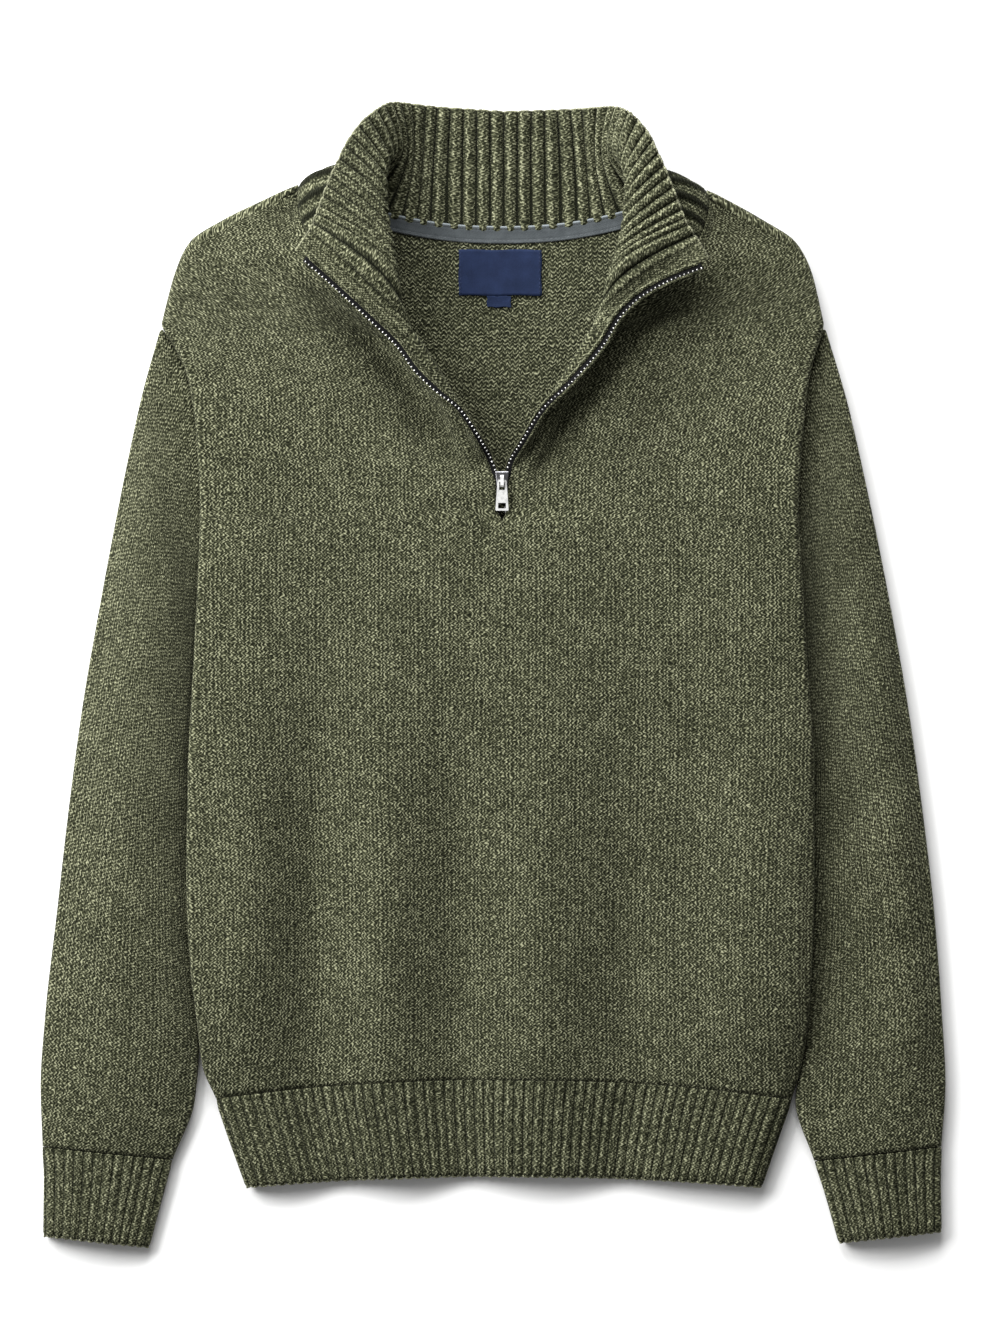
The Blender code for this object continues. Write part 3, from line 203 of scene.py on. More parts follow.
def curve(xs, ys, x):
    """Cubic through the points with slopes that never overshoot them."""
    xs, ys, x = np.asarray(xs, float), np.asarray(ys, float), np.asarray(x, float)
    h = np.diff(xs)
    d = np.diff(ys) / h
    m = np.zeros(len(xs))
    m[0], m[-1] = d[0], d[-1]
    inside = d[:-1] * d[1:] > 0
    w1, w2 = 2 * h[1:] + h[:-1], h[1:] + 2 * h[:-1]
    with np.errstate(divide="ignore", invalid="ignore"):
        mean = (w1 + w2) / (w1 / d[:-1] + w2 / d[1:])
    m[1:-1] = np.where(inside, mean, 0.0)
    i = np.clip(np.searchsorted(xs, x) - 1, 0, len(xs) - 2)
    t = (x - xs[i]) / h[i]
    a, b = ys[i], ys[i + 1]
    return (a * (1 + 2 * t) * (1 - t) ** 2 + b * t * t * (3 - 2 * t)
            + h[i] * (m[i] * t * (1 - t) ** 2 + m[i + 1] * t * t * (t - 1)))


def unit(v):
    """Rows of vectors at length one."""
    return v / np.maximum(np.linalg.norm(v, axis=-1, keepdims=True), 1e-9)


def lengths(points, axis=0):
    """Length along the points from the first one."""
    steps = np.linalg.norm(np.diff(points, axis=axis), axis=-1)
    return np.insert(np.cumsum(steps, axis=axis), 0, 0.0, axis=axis)


def at_places(at, known, vectors):
    """Vectors at places between the known ones."""
    return np.stack([np.interp(at, known, vectors[:, i]) for i in range(vectors.shape[1])], -1)


def knit_places(across, up):
    """Places on the knit for a grid, from distances across it and up it."""
    return np.stack(np.broadcast_arrays(across, up), -1)


SIDES = columns(OUTLINE, OUTLINE_COLUMNS)


def outline(y, side):
    """Outline's x, its height values, and the outward normal in the plane, at one y."""
    row = {name: float(curve(SIDES["y"], SIDES[name], y)) for name in OUTLINE_COLUMNS[1:]}
    ahead, behind = (float(curve(SIDES["y"], SIDES[side], y + s)) for s in (0.5, -0.5))
    out = unit(np.array([-1.0, ahead - behind]))
    row["out"] = out if side == "left" else -out
    row["x"] = row[side]
    return row


def back_edge(y, side):
    """Where the back's edge ends: its plan position and its height."""
    at = outline(y, side)
    turn = math.radians(SIDE_TURN)
    inset = WALL / 2 + at["roll_r"] * (1 - math.cos(turn))
    z = at["roll_z"] + at["roll_r"] * math.sin(turn)
    opened = np.interp(y, ARMPIT, (0.0, 1.0)) * np.interp(y, SHOULDER, (1.0, 0.0))
    z = z + (FLOOR - z) * (0.5 - 0.5 * math.cos(math.pi * opened))
    plan = np.array([at["x"], y]) - at["out"] * (inset + ARMPIT_INSET * min(1.0, 2 * opened))
    return plan, z


def neckline(x):
    """Height in the plane of the back neck seam."""
    return NECK_LOW + NECK_RISE * np.abs((x - NECK_MIDDLE) / NECK_HALF) ** NECK_POWER


def back_row(y):
    """Points of one row of the back, from its left edge to its right one."""
    left, left_z = back_edge(y, "left")
    right, right_z = back_edge(y - TILT * max(0.0, (y - TILT_FROM) / (BACK_TOP - TILT_FROM)), "right")
    width = right[0] - left[0]
    near = np.array(NEAR_EDGE) * min(1.0, NEAR_SHARE * width / NEAR_EDGE[-1])
    even = np.linspace(near[-1], width - near[-1], BACK_POINTS)
    row = []
    for a in np.concatenate([near[:-1], even, width - near[-2::-1]]):
        x = left[0] + a
        straight = left[1] + (right[1] - left[1]) * a / width
        limit = BACK_TOP - TILT * (x + NECK_HALF) / (2 * NECK_HALF)
        stretch = (min(neckline(x), limit) - DIP_START) / (limit - DIP_START)
        if straight > DIP_START:
            straight = DIP_START + (straight - DIP_START) * stretch
        z = FLOOR
        for away, end_z in ((a, left_z), (width - a, right_z)):
            reach = max(2.0 * (end_z - FLOOR), 0.1)
            z += (end_z - FLOOR) * max(0.0, 1 - away / reach) ** 2
        row.append([x, straight + np.interp(y, SAG_AT, SAG) * (1 - (2 * a / width - 1) ** 2), z])
    return row


def cloth_grid(bm, points, places, faces_up=True, closed=False):
    """Quads on a grid of points with its places on the knit; gives the rows of vertices.
    A closed grid's last column is its first one again."""
    knit_map = bm.loops.layers.uv.get("cloth") or bm.loops.layers.uv.new("cloth")
    count = len(points[0]) - closed
    verts = [[bm.verts.new(point * 0.001) for point in row[:count]] for row in points]
    for i in range(len(points) - 1):
        for j in range(len(points[0]) - 1):
            ring = [(i, j), (i, j + 1), (i + 1, j + 1), (i + 1, j)]
            if not faces_up:
                ring.reverse()
            face = bm.faces.new([verts[a][b % count] for a, b in ring])
            for loop, (a, b) in zip(face.loops, ring):
                loop[knit_map].uv = places[a][b] * 0.001
    return verts


def sewn(name, patches, looks, thickness=WALL, lip=0.55, lip_width=3.0, full_between=None):
    """Cloth of one thickness on the patches' middle surface, thinner at its edges. A patch is
    its grid of points, its grid of places on the knit, and which way it faces. Between two y
    its edges stay full, where the next piece is knitted on."""
    bm = bmesh.new()
    for patch in patches:
        cloth_grid(bm, *patch)
    bmesh.ops.remove_doubles(bm, verts=bm.verts, dist=2e-6)
    edge_points = [v.co.copy() for v in bm.verts if v.is_boundary]
    near_edge = kdtree.KDTree(len(edge_points))
    for i, co in enumerate(edge_points):
        near_edge.insert(co, i)
    near_edge.balance()
    inner = [min(1.0, near_edge.find(v.co)[2] * 1000 / lip_width) for v in bm.verts]
    made = in_scene(name, mesh_of(name, bm))
    for look in looks:
        made.data.materials.append(look)
    made.data.shade_smooth()
    full = made.vertex_groups.new(name="full")
    for i, share in enumerate(inner):
        full.add([i], math.sin(share * math.pi / 2), "REPLACE")
    if full_between:
        low, high = full_between
        full.add([v.index for v in made.data.vertices if low < v.co.y * 1000 < high], 1.0, "REPLACE")
    wall = made.modifiers.new("Wall", "SOLIDIFY")
    wall.thickness = thickness * 0.001
    wall.offset = 0.0
    wall.vertex_group = "full"
    wall.thickness_vertex_group = lip
    wall.material_offset = len(looks) - 1
    return made


def bumped(tree, shader, strength, distance, height):
    """Small relief on a shader, from a height."""
    bump = wired(tree, "ShaderNodeBump", strength, distance, None, height)
    tree.links.new(bump, shader.inputs["Normal"])


def worn_on_sweater(made, node=None):
    """Rides a piece on the sweater, in place of its solid if it has one."""
    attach(made, "sweater")
    if node:
        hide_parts(node)


def knit(name, wale=2.75, course=2.6, purl=False, rib=0.0, valley_shade_by=(4.0, 0.9), valley_shade_span=None,
         painted_shade=1.0):
    """Marled knit: light wavy strands on dark gaps, in columns, or in rows on the purl side."""
    made, tree, shader = finish_of(name, 0.95, sheen=0.07, specular=0.06)
    shader.inputs["Sheen Roughness"].default_value = 0.6
    shader.inputs["Sheen Tint"].default_value = (0.75, 0.78, 0.6, 1.0)

    def calc(operation, *values, **settings):
        return wired(tree, "ShaderNodeMath", *values, operation=operation, **settings)

    def vector(operation, *values):
        return wired(tree, "ShaderNodeVectorMath", *values, operation=operation)

    def swing(turns):
        return calc("SINE", calc("MULTIPLY", turns, 2 * math.pi))

    def noise(scale, detail=0.0):
        return calc("SUBTRACT", noise_at(tree, fibre, scale, detail), 0.5)

    place = wired(tree, "ShaderNodeUVMap", uv_map="cloth")
    stray = noise_at(tree, place, 170.0, 1.0).node.outputs["Color"]
    stray = vector("MULTIPLY", vector("SUBTRACT", stray, (0.5, 0.5, 0.5)), (STRAY, STRAY, 0.0))
    loose = vector("ADD", place, stray)
    fibre = vector("MULTIPLY", loose, DRAWN if rib else (1.0, 1.0, 1.0))
    split = wired(tree, "ShaderNodeSeparateXYZ", loose).node
    across = calc("DIVIDE", split.outputs[0], wale * 0.001)
    along = calc("DIVIDE", split.outputs[1], course * 0.001)
    if purl:
        strand = swing(calc("ADD", along, calc("MULTIPLY", swing(across), 0.30)))
        breaks = swing(calc("MULTIPLY", across, 2.0))
    else:
        strand = swing(calc("ADD", across, calc("MULTIPLY", swing(along), 0.25)))
        breaks = swing(calc("ADD", along, calc("MULTIPLY", across, 0.5)))
    loop = calc("MULTIPLY", strand, calc("MULTIPLY_ADD", breaks, 0.3, 0.7))
    curl = calc("MULTIPLY", calc("ABSOLUTE", noise(CURL_SCALE)), -9.0)
    curl = calc("MAXIMUM", calc("ADD", curl, 1.0), -0.6)
    tone = calc("MULTIPLY_ADD", loop, LOOP_TONE * (0.75 if rib else 1.0), 0.55 if rib else 0.5)
    tone = calc("MULTIPLY_ADD", curl, CURL_TONE, tone)
    for scale, detail, share in (FLECKS, CLOUDS):
        tone = calc("MULTIPLY_ADD", noise(scale, detail), share, tone)
    # Painted shade: the tone is darkened along each rib's valley, where shade falls between the ribs.
    if rib:
        on_run = wired(tree, "ShaderNodeSeparateXYZ", place)
        phase = calc("FRACT", calc("DIVIDE", on_run, rib * 0.001))
        valley = calc("ABSOLUTE", calc("SUBTRACT", calc("MULTIPLY", phase, 2.0), 1.0))
        valley = calc("MULTIPLY", calc("POWER", valley, valley_shade_by[0]), valley_shade_by[1])
        # The painted valley shade stays inside this span of the run, off the plain bands.
        if valley_shade_span:
            middle, half = valley_shade_span
            off = calc("ABSOLUTE", calc("SUBTRACT", on_run, middle))
            inside = calc("MULTIPLY_ADD", off, -400.0, half * 400.0, use_clamp=True)
            valley = calc("MULTIPLY", valley, inside)
        tone = calc("SUBTRACT", tone, valley)
    # Below one, this factor darkens every tone as painted shade.
    dark, middle, light = (tuple(c * painted_shade for c in tint)
                           for tint in (MARL_DARK, MARL_MIDDLE, MARL_LIGHT))
    between, above = (tuple(math.sqrt(a * b) for a, b in zip(tint, middle)) for tint in (dark, light))
    graded(tree, tone, shader.inputs["Base Color"],
           (0.0, dark), (0.25, between), (0.5, middle), (0.75, above), (1.0, light))
    bumped(tree, shader, 0.8, 0.0009, calc("MULTIPLY_ADD", curl, 0.25, calc("MULTIPLY", loop, 0.5)))
    return made


knit_face = knit("plain knit")
# The purl side is darkened as painted shade, for the inside back that lies in the collar's shadow.
knit_purl = knit("purl side", wale=3.7, course=2.85, purl=True, painted_shade=0.85)

back_y = np.concatenate([np.arange(BODY_LOW, DIP_START, BACK_STEP),
                         np.linspace(DIP_START, BACK_TOP, BACK_TOP_ROWS)])
back_grid = np.array([back_row(y) for y in back_y])
back = sewn("back_panel", [(back_grid, back_grid[..., :2], False)], [knit_face, knit_purl])
worn_on_sweater(back, "back")

# ------------------------------------------------------------------ front panel
# Plain knit front in one piece, slit down the middle of the chest for the zip. Its side edges
# roll under to the side seams. Beside the open zip its edges stand up and turn back.
SEAM, NECK_GAP, CENTRE = 0.3, 0.3, 6.3
CREST_IN, CREST_END = 32.0, 96.0
WAVE_FULL = -190.0
WAVES = (                                    # x at the hem and at its top, top's y, width, height
    (-172.0, -168.0, 60.0, 20.0, 2.4),
    (-125.0, -125.0, 60.0, 20.0, -6.6),
    (-74.0, -74.0, 95.0, 20.0, 7.4),
    (-22.0, -24.0, 60.0, 20.0, -7.0),
    (38.0, 34.0, 60.0, 25.0, 6.6),
    (98.0, 92.0, 10.0, 22.0, -6.4),
    (196.0, 186.0, 40.0, 40.0, 3.0),
)
# The front's edge beside the zip: where it turns back, how far, and the narrow flap beyond
PLACKET_COLUMNS = ("side_y", "z", "turn", "bend", "left_x", "left_y", "left_flap",
                   "right_x", "right_y", "right_flap")
PLACKET = (
    (112, 13.2, 0, 5, -7.3, 116.0, 4.5, 19.9, 116.0, 4.5),
    (128, 13.5, 0, 5, -7.6, 130.0, 4.5, 20.2, 130.0, 4.5),
    (145, 13.8, 2, 5, -8.6, 143.0, 4.5, 21.2, 143.0, 4.5),
    (158, 15.6, 30, 6, -13.8, 152.0, 4.5, 25.8, 152.0, 4.5),
    (176, 19.0, 76, 6, -18.6, 164.5, 4.5, 30.8, 164.5, 4.5),
    (192, 22.0, 118, 7, -22.8, 178.0, 5, 36.6, 180.0, 5),
    (206, 24.4, 148, 8, -28.2, 189.5, 7.5, 44.4, 194.0, 6),
    (219, 25.8, 165, 9.5, -37.0, 204.0, 10, 55.4, 211.5, 8),
    (232, 26.6, 172, 10.5, -46.9, 219.8, 13, 63.7, 225.0, 9.5),
    (246, 27.0, 175, 11, -58.2, 236.4, 11.7, 72.3, 239.3, 11),
)
PLACKET_END = len(PLACKET) - 1
LIFT_REACH = {"left": 17.0, "right": 58.0}
DIP = {"left": (-10.0, 22.0, 20.0), "right": (-6.5, 22.0, 20.0)}     # height, distance out, width
DIP_FROM, DIP_UPTO = (125.0, 185.0), (250.0, 285.0)
EDGE_BAND, EDGE_GROOVE = (1.5, 4.5, 4.0), (-3.6, 11.0, 5.0)         # height, distance out, width
NECK_ROWS = ((12.0, 263.0), (11.0, 278.0), (10.0, 293.0), (9.0, 307.0), (8.0, 320.0), (7.3, 330.0))
NECK_POINT = {"left": 343.8, "right": 339.8}
NECK_CORNER = (6.35, 7.3)
ROLL_TURNS = np.radians(np.linspace(SIDE_TURN, 90.0, 9))
REACHES = np.concatenate([np.linspace(0.02, 0.3, 15), np.linspace(0.325, 0.985, 28)])
LONG_ROW = 150.0
BEND_STEPS = np.linspace(0.0, 1.0, 9)
FLAP_STEPS = (0.35, 0.7, 1.0)
SLIT_HALF, SLIT_DRAWN = 14.0, 9.0            # the closed slit's bend, and how far it closes
SLIT_CLOSES, SLIT_HEIGHT = (85.0, 112.0), 13.0
LOWER_TOP, LOWER_ROWS, PLACKET_ROWS, TIP_ROWS, UPPER_ROWS = 108.0, 102, 46, 37, 30
CREST_COLUMN = len(ROLL_TURNS) + len(REACHES) + 4              # on top of the turned edge

# Collar's seam, fold and free edge, at stations from the centre back round to the front
COLLAR_COLUMNS = ("seam_x", "seam_y", "fold_x", "fold_y", "edge_x", "edge_y")
COLLAR_LEVELS = ("seam_z", "fold_z", "edge_z")
COLLAR_HEIGHTS = (
    (1.5, 2.2, 5.0), (1.5, 2.2, 5.5), (1.5, 2.8, 8.0), (1.5, 6.5, 16.0), (1.8, 17.5, 26.0),
    (2.4, 26.0, 33.5), (5.3, 31.0, 37.0), (9.6, 33.7, 39.0), (12.0, 36.5, 41.8),
    (15.4, 37.8, 42.5), (19.5, 38.3, 43.0), (23.5, 37.8, 43.0), (26.5, 37.0, 42.5),
)
COLLAR_BACK = (7.5, 308.5, 7.5, 354.0, 7.5, 393.8)
COLLAR_PLAN = {
    "left": (
        (-23.1, 310.4, -22.4, 355.2, -21.7, 395.8),
        (-54.6, 314.6, -50.0, 358.5, -48.3, 397.9),
        (-75.6, 320.2, -60.5, 364.5, -64.4, 399.3),
        (-103.6, 328.6, -68.0, 367.0, -75.6, 397.2),
        (-124.0, 337.0, -72.6, 361.5, -84.0, 391.0),
        (-134.4, 341.0, -75.0, 355.5, -90.5, 385.0),
        (-136.0, 332.0, -76.2, 349.0, -96.0, 378.0),
        (-134.3, 320.0, -76.5, 340.0, -100.8, 370.6),
        (-127.0, 304.0, -76.0, 326.5, -107.1, 357.3),
        (-115.5, 287.5, -74.3, 309.0, -112.0, 346.8),
        (-97.5, 270.0, -70.8, 289.0, -117.6, 332.1),
        (-74.0, 252.5, -67.0, 269.0, -122.5, 318.8),
    ),
    "right": (
        (38.0, 310.4, 37.5, 355.2, 37.0, 394.6),
        (69.5, 314.6, 66.0, 358.0, 63.5, 395.8),
        (90.3, 319.6, 77.0, 363.5, 80.5, 396.5),
        (118.3, 328.0, 85.0, 366.0, 90.3, 394.4),
        (138.0, 337.0, 90.0, 360.0, 97.5, 389.5),
        (147.9, 337.8, 92.6, 354.0, 103.5, 382.5),
        (150.4, 329.5, 93.9, 347.5, 108.5, 375.8),
        (148.5, 319.0, 94.6, 338.5, 112.7, 366.4),
        (143.0, 304.0, 94.0, 325.0, 118.3, 353.8),
        (132.0, 288.0, 91.8, 307.5, 123.9, 339.8),
        (114.0, 270.5, 87.5, 288.5, 130.2, 323.0),
        (89.0, 254.0, 81.5, 270.5, 135.1, 311.8),
    ),
}
COLLAR_TIP = {                               # fold and free edge from the hinge to the zip
    "left": ((-67.0, 252.0, 37.3, -127.4, 308.0, 42.3), (-83.0, 243.0, 38.2, -136.5, 295.0, 42.2)),
    "right": ((79.5, 256.5, 37.3, 142.8, 300.6, 42.3), (91.5, 248.0, 38.2, 149.8, 288.8, 42.2)),
}
BULGE_AT = (0, 3, 4, 5, 6, 7, 8, 9, 10.5, 12)
COLLAR_BULGE = {"left": (0.0, 0.0, 6.0, 13.0, 17.0, 16.0, 12.0, 7.0, 2.0, 0.0),
                "right": (0.0, 0.0, 4.0, 9.0, 12.0, 13.0, 11.0, 7.0, 2.0, 0.0)}
BULGE_WAY, BULGE_LOW = (0.62, 0.75, 0.1), 0.75
EDGE_LINES = {}
for half in ("left", "right"):
    ys = np.linspace(-297, 344, 322)
    EDGE_LINES[half] = np.stack([curve(SIDES["y"], SIDES[half], ys), ys], -1)


def natural(keys, points, t):
    """Natural cubic spline through rows of points at the given keys."""
    keys, points, t = np.asarray(keys, float), np.asarray(points, float), np.asarray(t, float)
    n = len(keys)
    h = np.diff(keys)
    system = np.eye(n)
    right = np.zeros((n,) + points.shape[1:])
    for i in range(1, n - 1):
        system[i, i - 1:i + 2] = h[i - 1], 2 * (h[i - 1] + h[i]), h[i]
        right[i] = 6 * ((points[i + 1] - points[i]) / h[i] - (points[i] - points[i - 1]) / h[i - 1])
    bend = np.linalg.solve(system, right.reshape(n, -1)).reshape(right.shape)
    i = np.clip(np.searchsorted(keys, t) - 1, 0, n - 2)
    shape = (-1,) + (1,) * (points.ndim - 1)
    after, before = ((t - keys[i]) / h[i]).reshape(shape), ((keys[i + 1] - t) / h[i]).reshape(shape)
    step = (h[i] ** 2).reshape(shape) / 6
    return (before * points[i] + after * points[i + 1]
            + step * ((before ** 3 - before) * bend[i] + (after ** 3 - after) * bend[i + 1]))


def waves(x, y):
    """Height added by the long folds of the lower front."""
    total = 0.0
    for at_hem, at_top, top, spread, height in WAVES:
        along = min(max((y - WAVE_FULL) / (top - WAVE_FULL), 0.0), 1.0)
        centre = at_hem + (at_top - at_hem) * along
        fade = 0.5 + 0.5 * math.cos(math.pi * along)
        near_hem = np.interp(y, (-300.0, -200.0), (0.6, 1.0))
        total += height * fade * near_hem * math.exp(-((x - centre) / spread) ** 2)
    return total


def puff(inward, row):
    """Height of the middle surface at a distance inside the outline."""
    start = row["roll_r"] + WALL / 2
    top = row["roll_z"] + row["roll_r"]
    climb = min(max((inward - start) / (CREST_IN - start), 0), 1)
    fall = min(max((inward - CREST_IN) / (CREST_END - CREST_IN), 0), 1)
    up = top + (row["crest"] - top) * math.sin(climb * math.pi / 2)
    return up + (row["middle"] - row["crest"]) * (0.5 - 0.5 * math.cos(math.pi * fall))


def roll_points(side_y, side):
    """Points round the rolled edge at one place of the outline, its values and its centre."""
    at = outline(side_y, side)
    centre = np.array([at["x"], side_y]) - at["out"] * (at["roll_r"] + WALL / 2)
    points = []
    for turn in ROLL_TURNS:
        plan = centre + at["out"] * at["roll_r"] * math.cos(turn)
        points.append([plan[0], plan[1], at["roll_z"] + at["roll_r"] * math.sin(turn)])
    return points, at, centre


def body_part(side_y, hinge, hinge_z, side, power=1.0):
    """Points of a row from its rolled edge up to the hinge of its inner end."""
    points, at, centre = roll_points(side_y, side)
    length = np.linalg.norm(hinge - centre)
    long = min(1.0, length / LONG_ROW)
    even = np.arange(1, len(REACHES) + 1) / (len(REACHES) + 1)
    for reach in REACHES * long + even * (1 - long):
        x = centre[0] + (hinge[0] - centre[0]) * reach
        y = centre[1] + (hinge[1] - centre[1]) * (1 - (1 - reach) ** power)
        inward = float(np.min(np.hypot(EDGE_LINES[side][:, 0] - x, EDGE_LINES[side][:, 1] - y)))
        z = puff(inward, at) + waves(x, y)
        if hinge_z is not None:
            away = length * (1 - reach)
            none = math.exp(-(length / LIFT_REACH[side]) ** 2)
            lift = (math.exp(-(away / LIFT_REACH[side]) ** 2) - none) / (1 - none)
            z += (hinge_z - z) * lift
            here = np.interp(side_y, DIP_FROM + DIP_UPTO, (0.0, 1.0, 1.0, 0.0))
            deep, out, wide = DIP[side]
            z += (deep * here * (1 - math.exp(-(away / 8.0) ** 2))
                  * math.exp(-((away - out) / wide) ** 2))
            if length > LONG_ROW:
                for rise, out, wide in (EDGE_BAND, EDGE_GROOVE):
                    z += rise * (0.3 + 0.7 * here) * math.exp(-((away - out) / wide) ** 2)
        points.append([x, y, z])
    return points


def straight_row(side_y, centre_y, side):
    """Row below the slit, ending at the centre line."""
    sign = 1 if side == "left" else -1
    slit = np.interp(centre_y, SLIT_CLOSES, (0.0, 1.0))
    middle = np.interp(centre_y, SIDES["y"], SIDES["middle"])
    start = np.array([CENTRE - sign * SLIT_HALF, centre_y])
    points = body_part(side_y, start, None, side, 2.0)
    inner = CENTRE - sign * (SLIT_HALF - SLIT_DRAWN * BEND_STEPS)
    for x in (*inner, *(inner[-1] + (CENTRE - inner[-1]) * step for step in FLAP_STEPS)):
        z = middle + waves(x, centre_y)
        points.append([x, centre_y, z + (SLIT_HEIGHT - z) * slit * 0.8])
    return points


def turned_rows(side, count):
    """Rows beside the zip, each with its inner end bent back and running on as a narrow flap.
    Gives them with the places, the turns and the ways toward the opening they are made with."""
    places = np.linspace(0, PLACKET_END, count)
    values = columns(PLACKET, PLACKET_COLUMNS)
    edge = {}
    for name in ("side_y", "x", "y", "z", "turn", "bend", "flap"):
        column = values[name if name in values else side + "_" + name]
        edge[name] = curve(np.arange(len(PLACKET)), column, places)
    tangent = unit(np.stack([np.gradient(edge["x"]), np.gradient(edge["y"])], -1))
    toward = np.stack([tangent[:, 1], -tangent[:, 0]], -1) * (1 if side == "left" else -1)
    rows = []
    for way, side_y, x, y, z, turn, bend, flap in zip(toward, *edge.values()):
        hinge = np.array([x, y])
        points = body_part(side_y, hinge, z, side)
        turn = math.radians(max(turn, 0.5))
        radius = bend / turn
        for step in BEND_STEPS:
            plan = hinge + way * radius * math.sin(turn * step)
            points.append([plan[0], plan[1], z + radius * (1 - math.cos(turn * step))])
        heading = np.array([*way * math.cos(turn), math.sin(turn)])
        end = np.array(points[-1])
        points += [list(end + heading * flap * step) for step in FLAP_STEPS]
        rows.append(points)
    return np.array(rows), places, np.radians(edge["turn"]), toward


def collar_lines(side):
    """Collar's seam, fold and free edge, with their end stations on the turned front edge."""
    heights = columns(COLLAR_HEIGHTS, COLLAR_LEVELS)
    values = {**columns((COLLAR_BACK,) + COLLAR_PLAN[side], COLLAR_COLUMNS), **heights}
    values["seam_y"][:6] = neckline(values["seam_x"][:6]) + SEAM / 2
    seam, fold, edge = (np.stack([values[name + axis] for axis in ("_x", "_y", "_z")], -1)
                        for name in ("seam", "fold", "edge"))
    hinge, tip = np.array(COLLAR_TIP[side])
    turned = turned_rows(side, TIP_ROWS)[0][-1][[CREST_COLUMN, CREST_COLUMN + 2, CREST_COLUMN + 4, -1]]
    along = lengths(turned)
    ends = hinge + (tip - hinge) * (along / along[-1])[:, None]
    return [np.vstack([seam, turned]), np.vstack([fold, ends[:, :3]]), np.vstack([edge, ends[:, 3:]])]


COLLAR_LINES = {half: collar_lines(half) for half in ("left", "right")}


def collar_surface(side, stations, across):
    """Points of the collar at stations from the centre back and at heights 0 to 1."""
    lines = COLLAR_LINES[side]
    spacing = np.mean([lengths(line) for line in lines], axis=0)
    places = curve(np.arange(len(spacing)), spacing, stations)
    push = np.interp(stations, BULGE_AT, COLLAR_BULGE[side])
    way = np.array([-BULGE_WAY[0] if side == "left" else BULGE_WAY[0], *BULGE_WAY[1:]])
    grid = []
    for seam, fold, edge, out in zip(*[natural(spacing, line, places) for line in lines], push):
        low, high = np.linalg.norm(fold - seam), np.linalg.norm(edge - fold)
        crest = low / (low + high)
        points = natural([0.0, crest, 1.0], [seam, fold, edge], across)
        swell = np.sin(np.pi * np.clip(np.asarray(across) / crest, 0, 1) ** BULGE_LOW) ** 1.2
        grid.append(points + swell[:, None] * way * out)
    return np.array(grid)


def neck_row(station, side_y, side):
    """Row under the collar, ending at the neck seam in the collar's own direction."""
    seam = collar_surface(side, np.array([station]), np.array([0.0, 0.05]))[0]
    ahead = unit(seam[1] - seam[0])
    end = seam[0] - ahead * NECK_GAP
    edge_x = float(curve(SIDES["y"], SIDES[side], side_y))
    start = end - ahead * min(7.0, 0.3 * math.hypot(end[0] - edge_x, end[1] - side_y))
    points = body_part(side_y, start[:2], start[2], side)
    return np.array(points + [list(start + (end - start) * step / 4) for step in range(5)])


def front_half(side):
    """Grids of the front's half: the rows up to the notch, and the rows under the collar."""
    lower = [straight_row(y, y + np.interp(y, SAG_AT, SAG), side)
             for y in np.linspace(BODY_LOW, LOWER_TOP, LOWER_ROWS)]
    lower = np.array(lower + list(turned_rows(side, PLACKET_ROWS)[0]))
    upper = [lower[-1][:CREST_COLUMN + 1]]
    at, ys = np.array(NECK_ROWS).T
    first = neck_row(at[0], ys[0], side)
    upper += [upper[0] * (1 - share) + first * share for share in (0.25, 0.5, 0.75)]
    last_at = np.linspace(at[0], at[-1], UPPER_ROWS)
    for station, y in zip(last_at, curve(-at, ys, -last_at)):
        upper.append(neck_row(station, float(y), side))
    last = upper[-1]
    corner = roll_points(NECK_POINT[side], side)[0]
    stations = np.linspace(*NECK_CORNER, len(last) - len(corner))
    for low, high in collar_surface(side, stations, np.array([0.0, 0.05]))[:-1]:
        corner.append(list(low - unit(high - low) * NECK_GAP))
    corner = np.array(corner + [list(last[-1])])
    upper += [last * (1 - share) + corner * share for share in (0.3, 0.65, 1.0)]
    return lower, np.array(upper)


def measured_places(grid):
    """Places on the knit: millimetres across from the last column, and up along the rows."""
    across = lengths(grid, axis=1)
    up = np.median(np.linalg.norm(np.diff(grid, axis=0), axis=-1), axis=1)
    return knit_places(across - across[:, -1:], np.cumsum(np.concatenate([[0.0], up]))[:, None])


front_patches = []
for half, sign in (("left", 1.0), ("right", -1.0)):
    lower, upper = front_half(half)
    lower_map, upper_map = measured_places(lower), measured_places(upper)
    upper_map += lower_map[-1, CREST_COLUMN, 0], lower_map[-1, 0, 1]
    for grid, places in ((lower, lower_map), (upper, upper_map)):
        front_patches.append((grid, places * (sign, 1.0), half == "left"))
front = sewn("front_panel", front_patches, [knit_face, knit_purl], full_between=(-310, -270))
worn_on_sweater(front, "front")

# ------------------------------------------------------------------ hem
# Ribbed band knitted on round the body's lower edge. It is drawn in a little, and its ribs
# are rounded ridges with narrow valleys between them. Its lower edge is bound off.
HEM_COLUMNS = ("y_middle", "y_side", "left", "right", "height")
HEM = (
    (-283.0, -297.2, -193.0, 208.5, 1.0),
    (-305.0, -318.0, -186.0, 201.0, 0.93),
    (-349.3, -356.8, -172.0, 187.5, 0.82),
)
RIB, RIB_HEIGHT, RIB_SCALLOP = 7.2, 0.75, 0.5
RIB_FADE = 5.0                               # how far the ribs take to rise and to end
HEM_POINTS = 900


def table_row(table, names, k):
    """Values of a table's columns at one place between its rows."""
    return {name: float(curve(np.arange(len(table)), values, k))
            for name, values in columns(table, names).items()}


def ridges(across, pitch):
    """Height of a rib's ridge, from minus one in its valley to one on its top."""
    off = np.abs(2 * np.mod(across / pitch, 1.0) - 1)
    return np.cos(math.pi * off ** 1.7)


def even_loop(loop, count):
    """Closed loop of points respaced evenly, with its first point again at its end."""
    loop = np.vstack([loop, loop[:1]])
    along = lengths(loop)
    return at_places(np.linspace(0.0, along[-1], count + 1), along, loop)


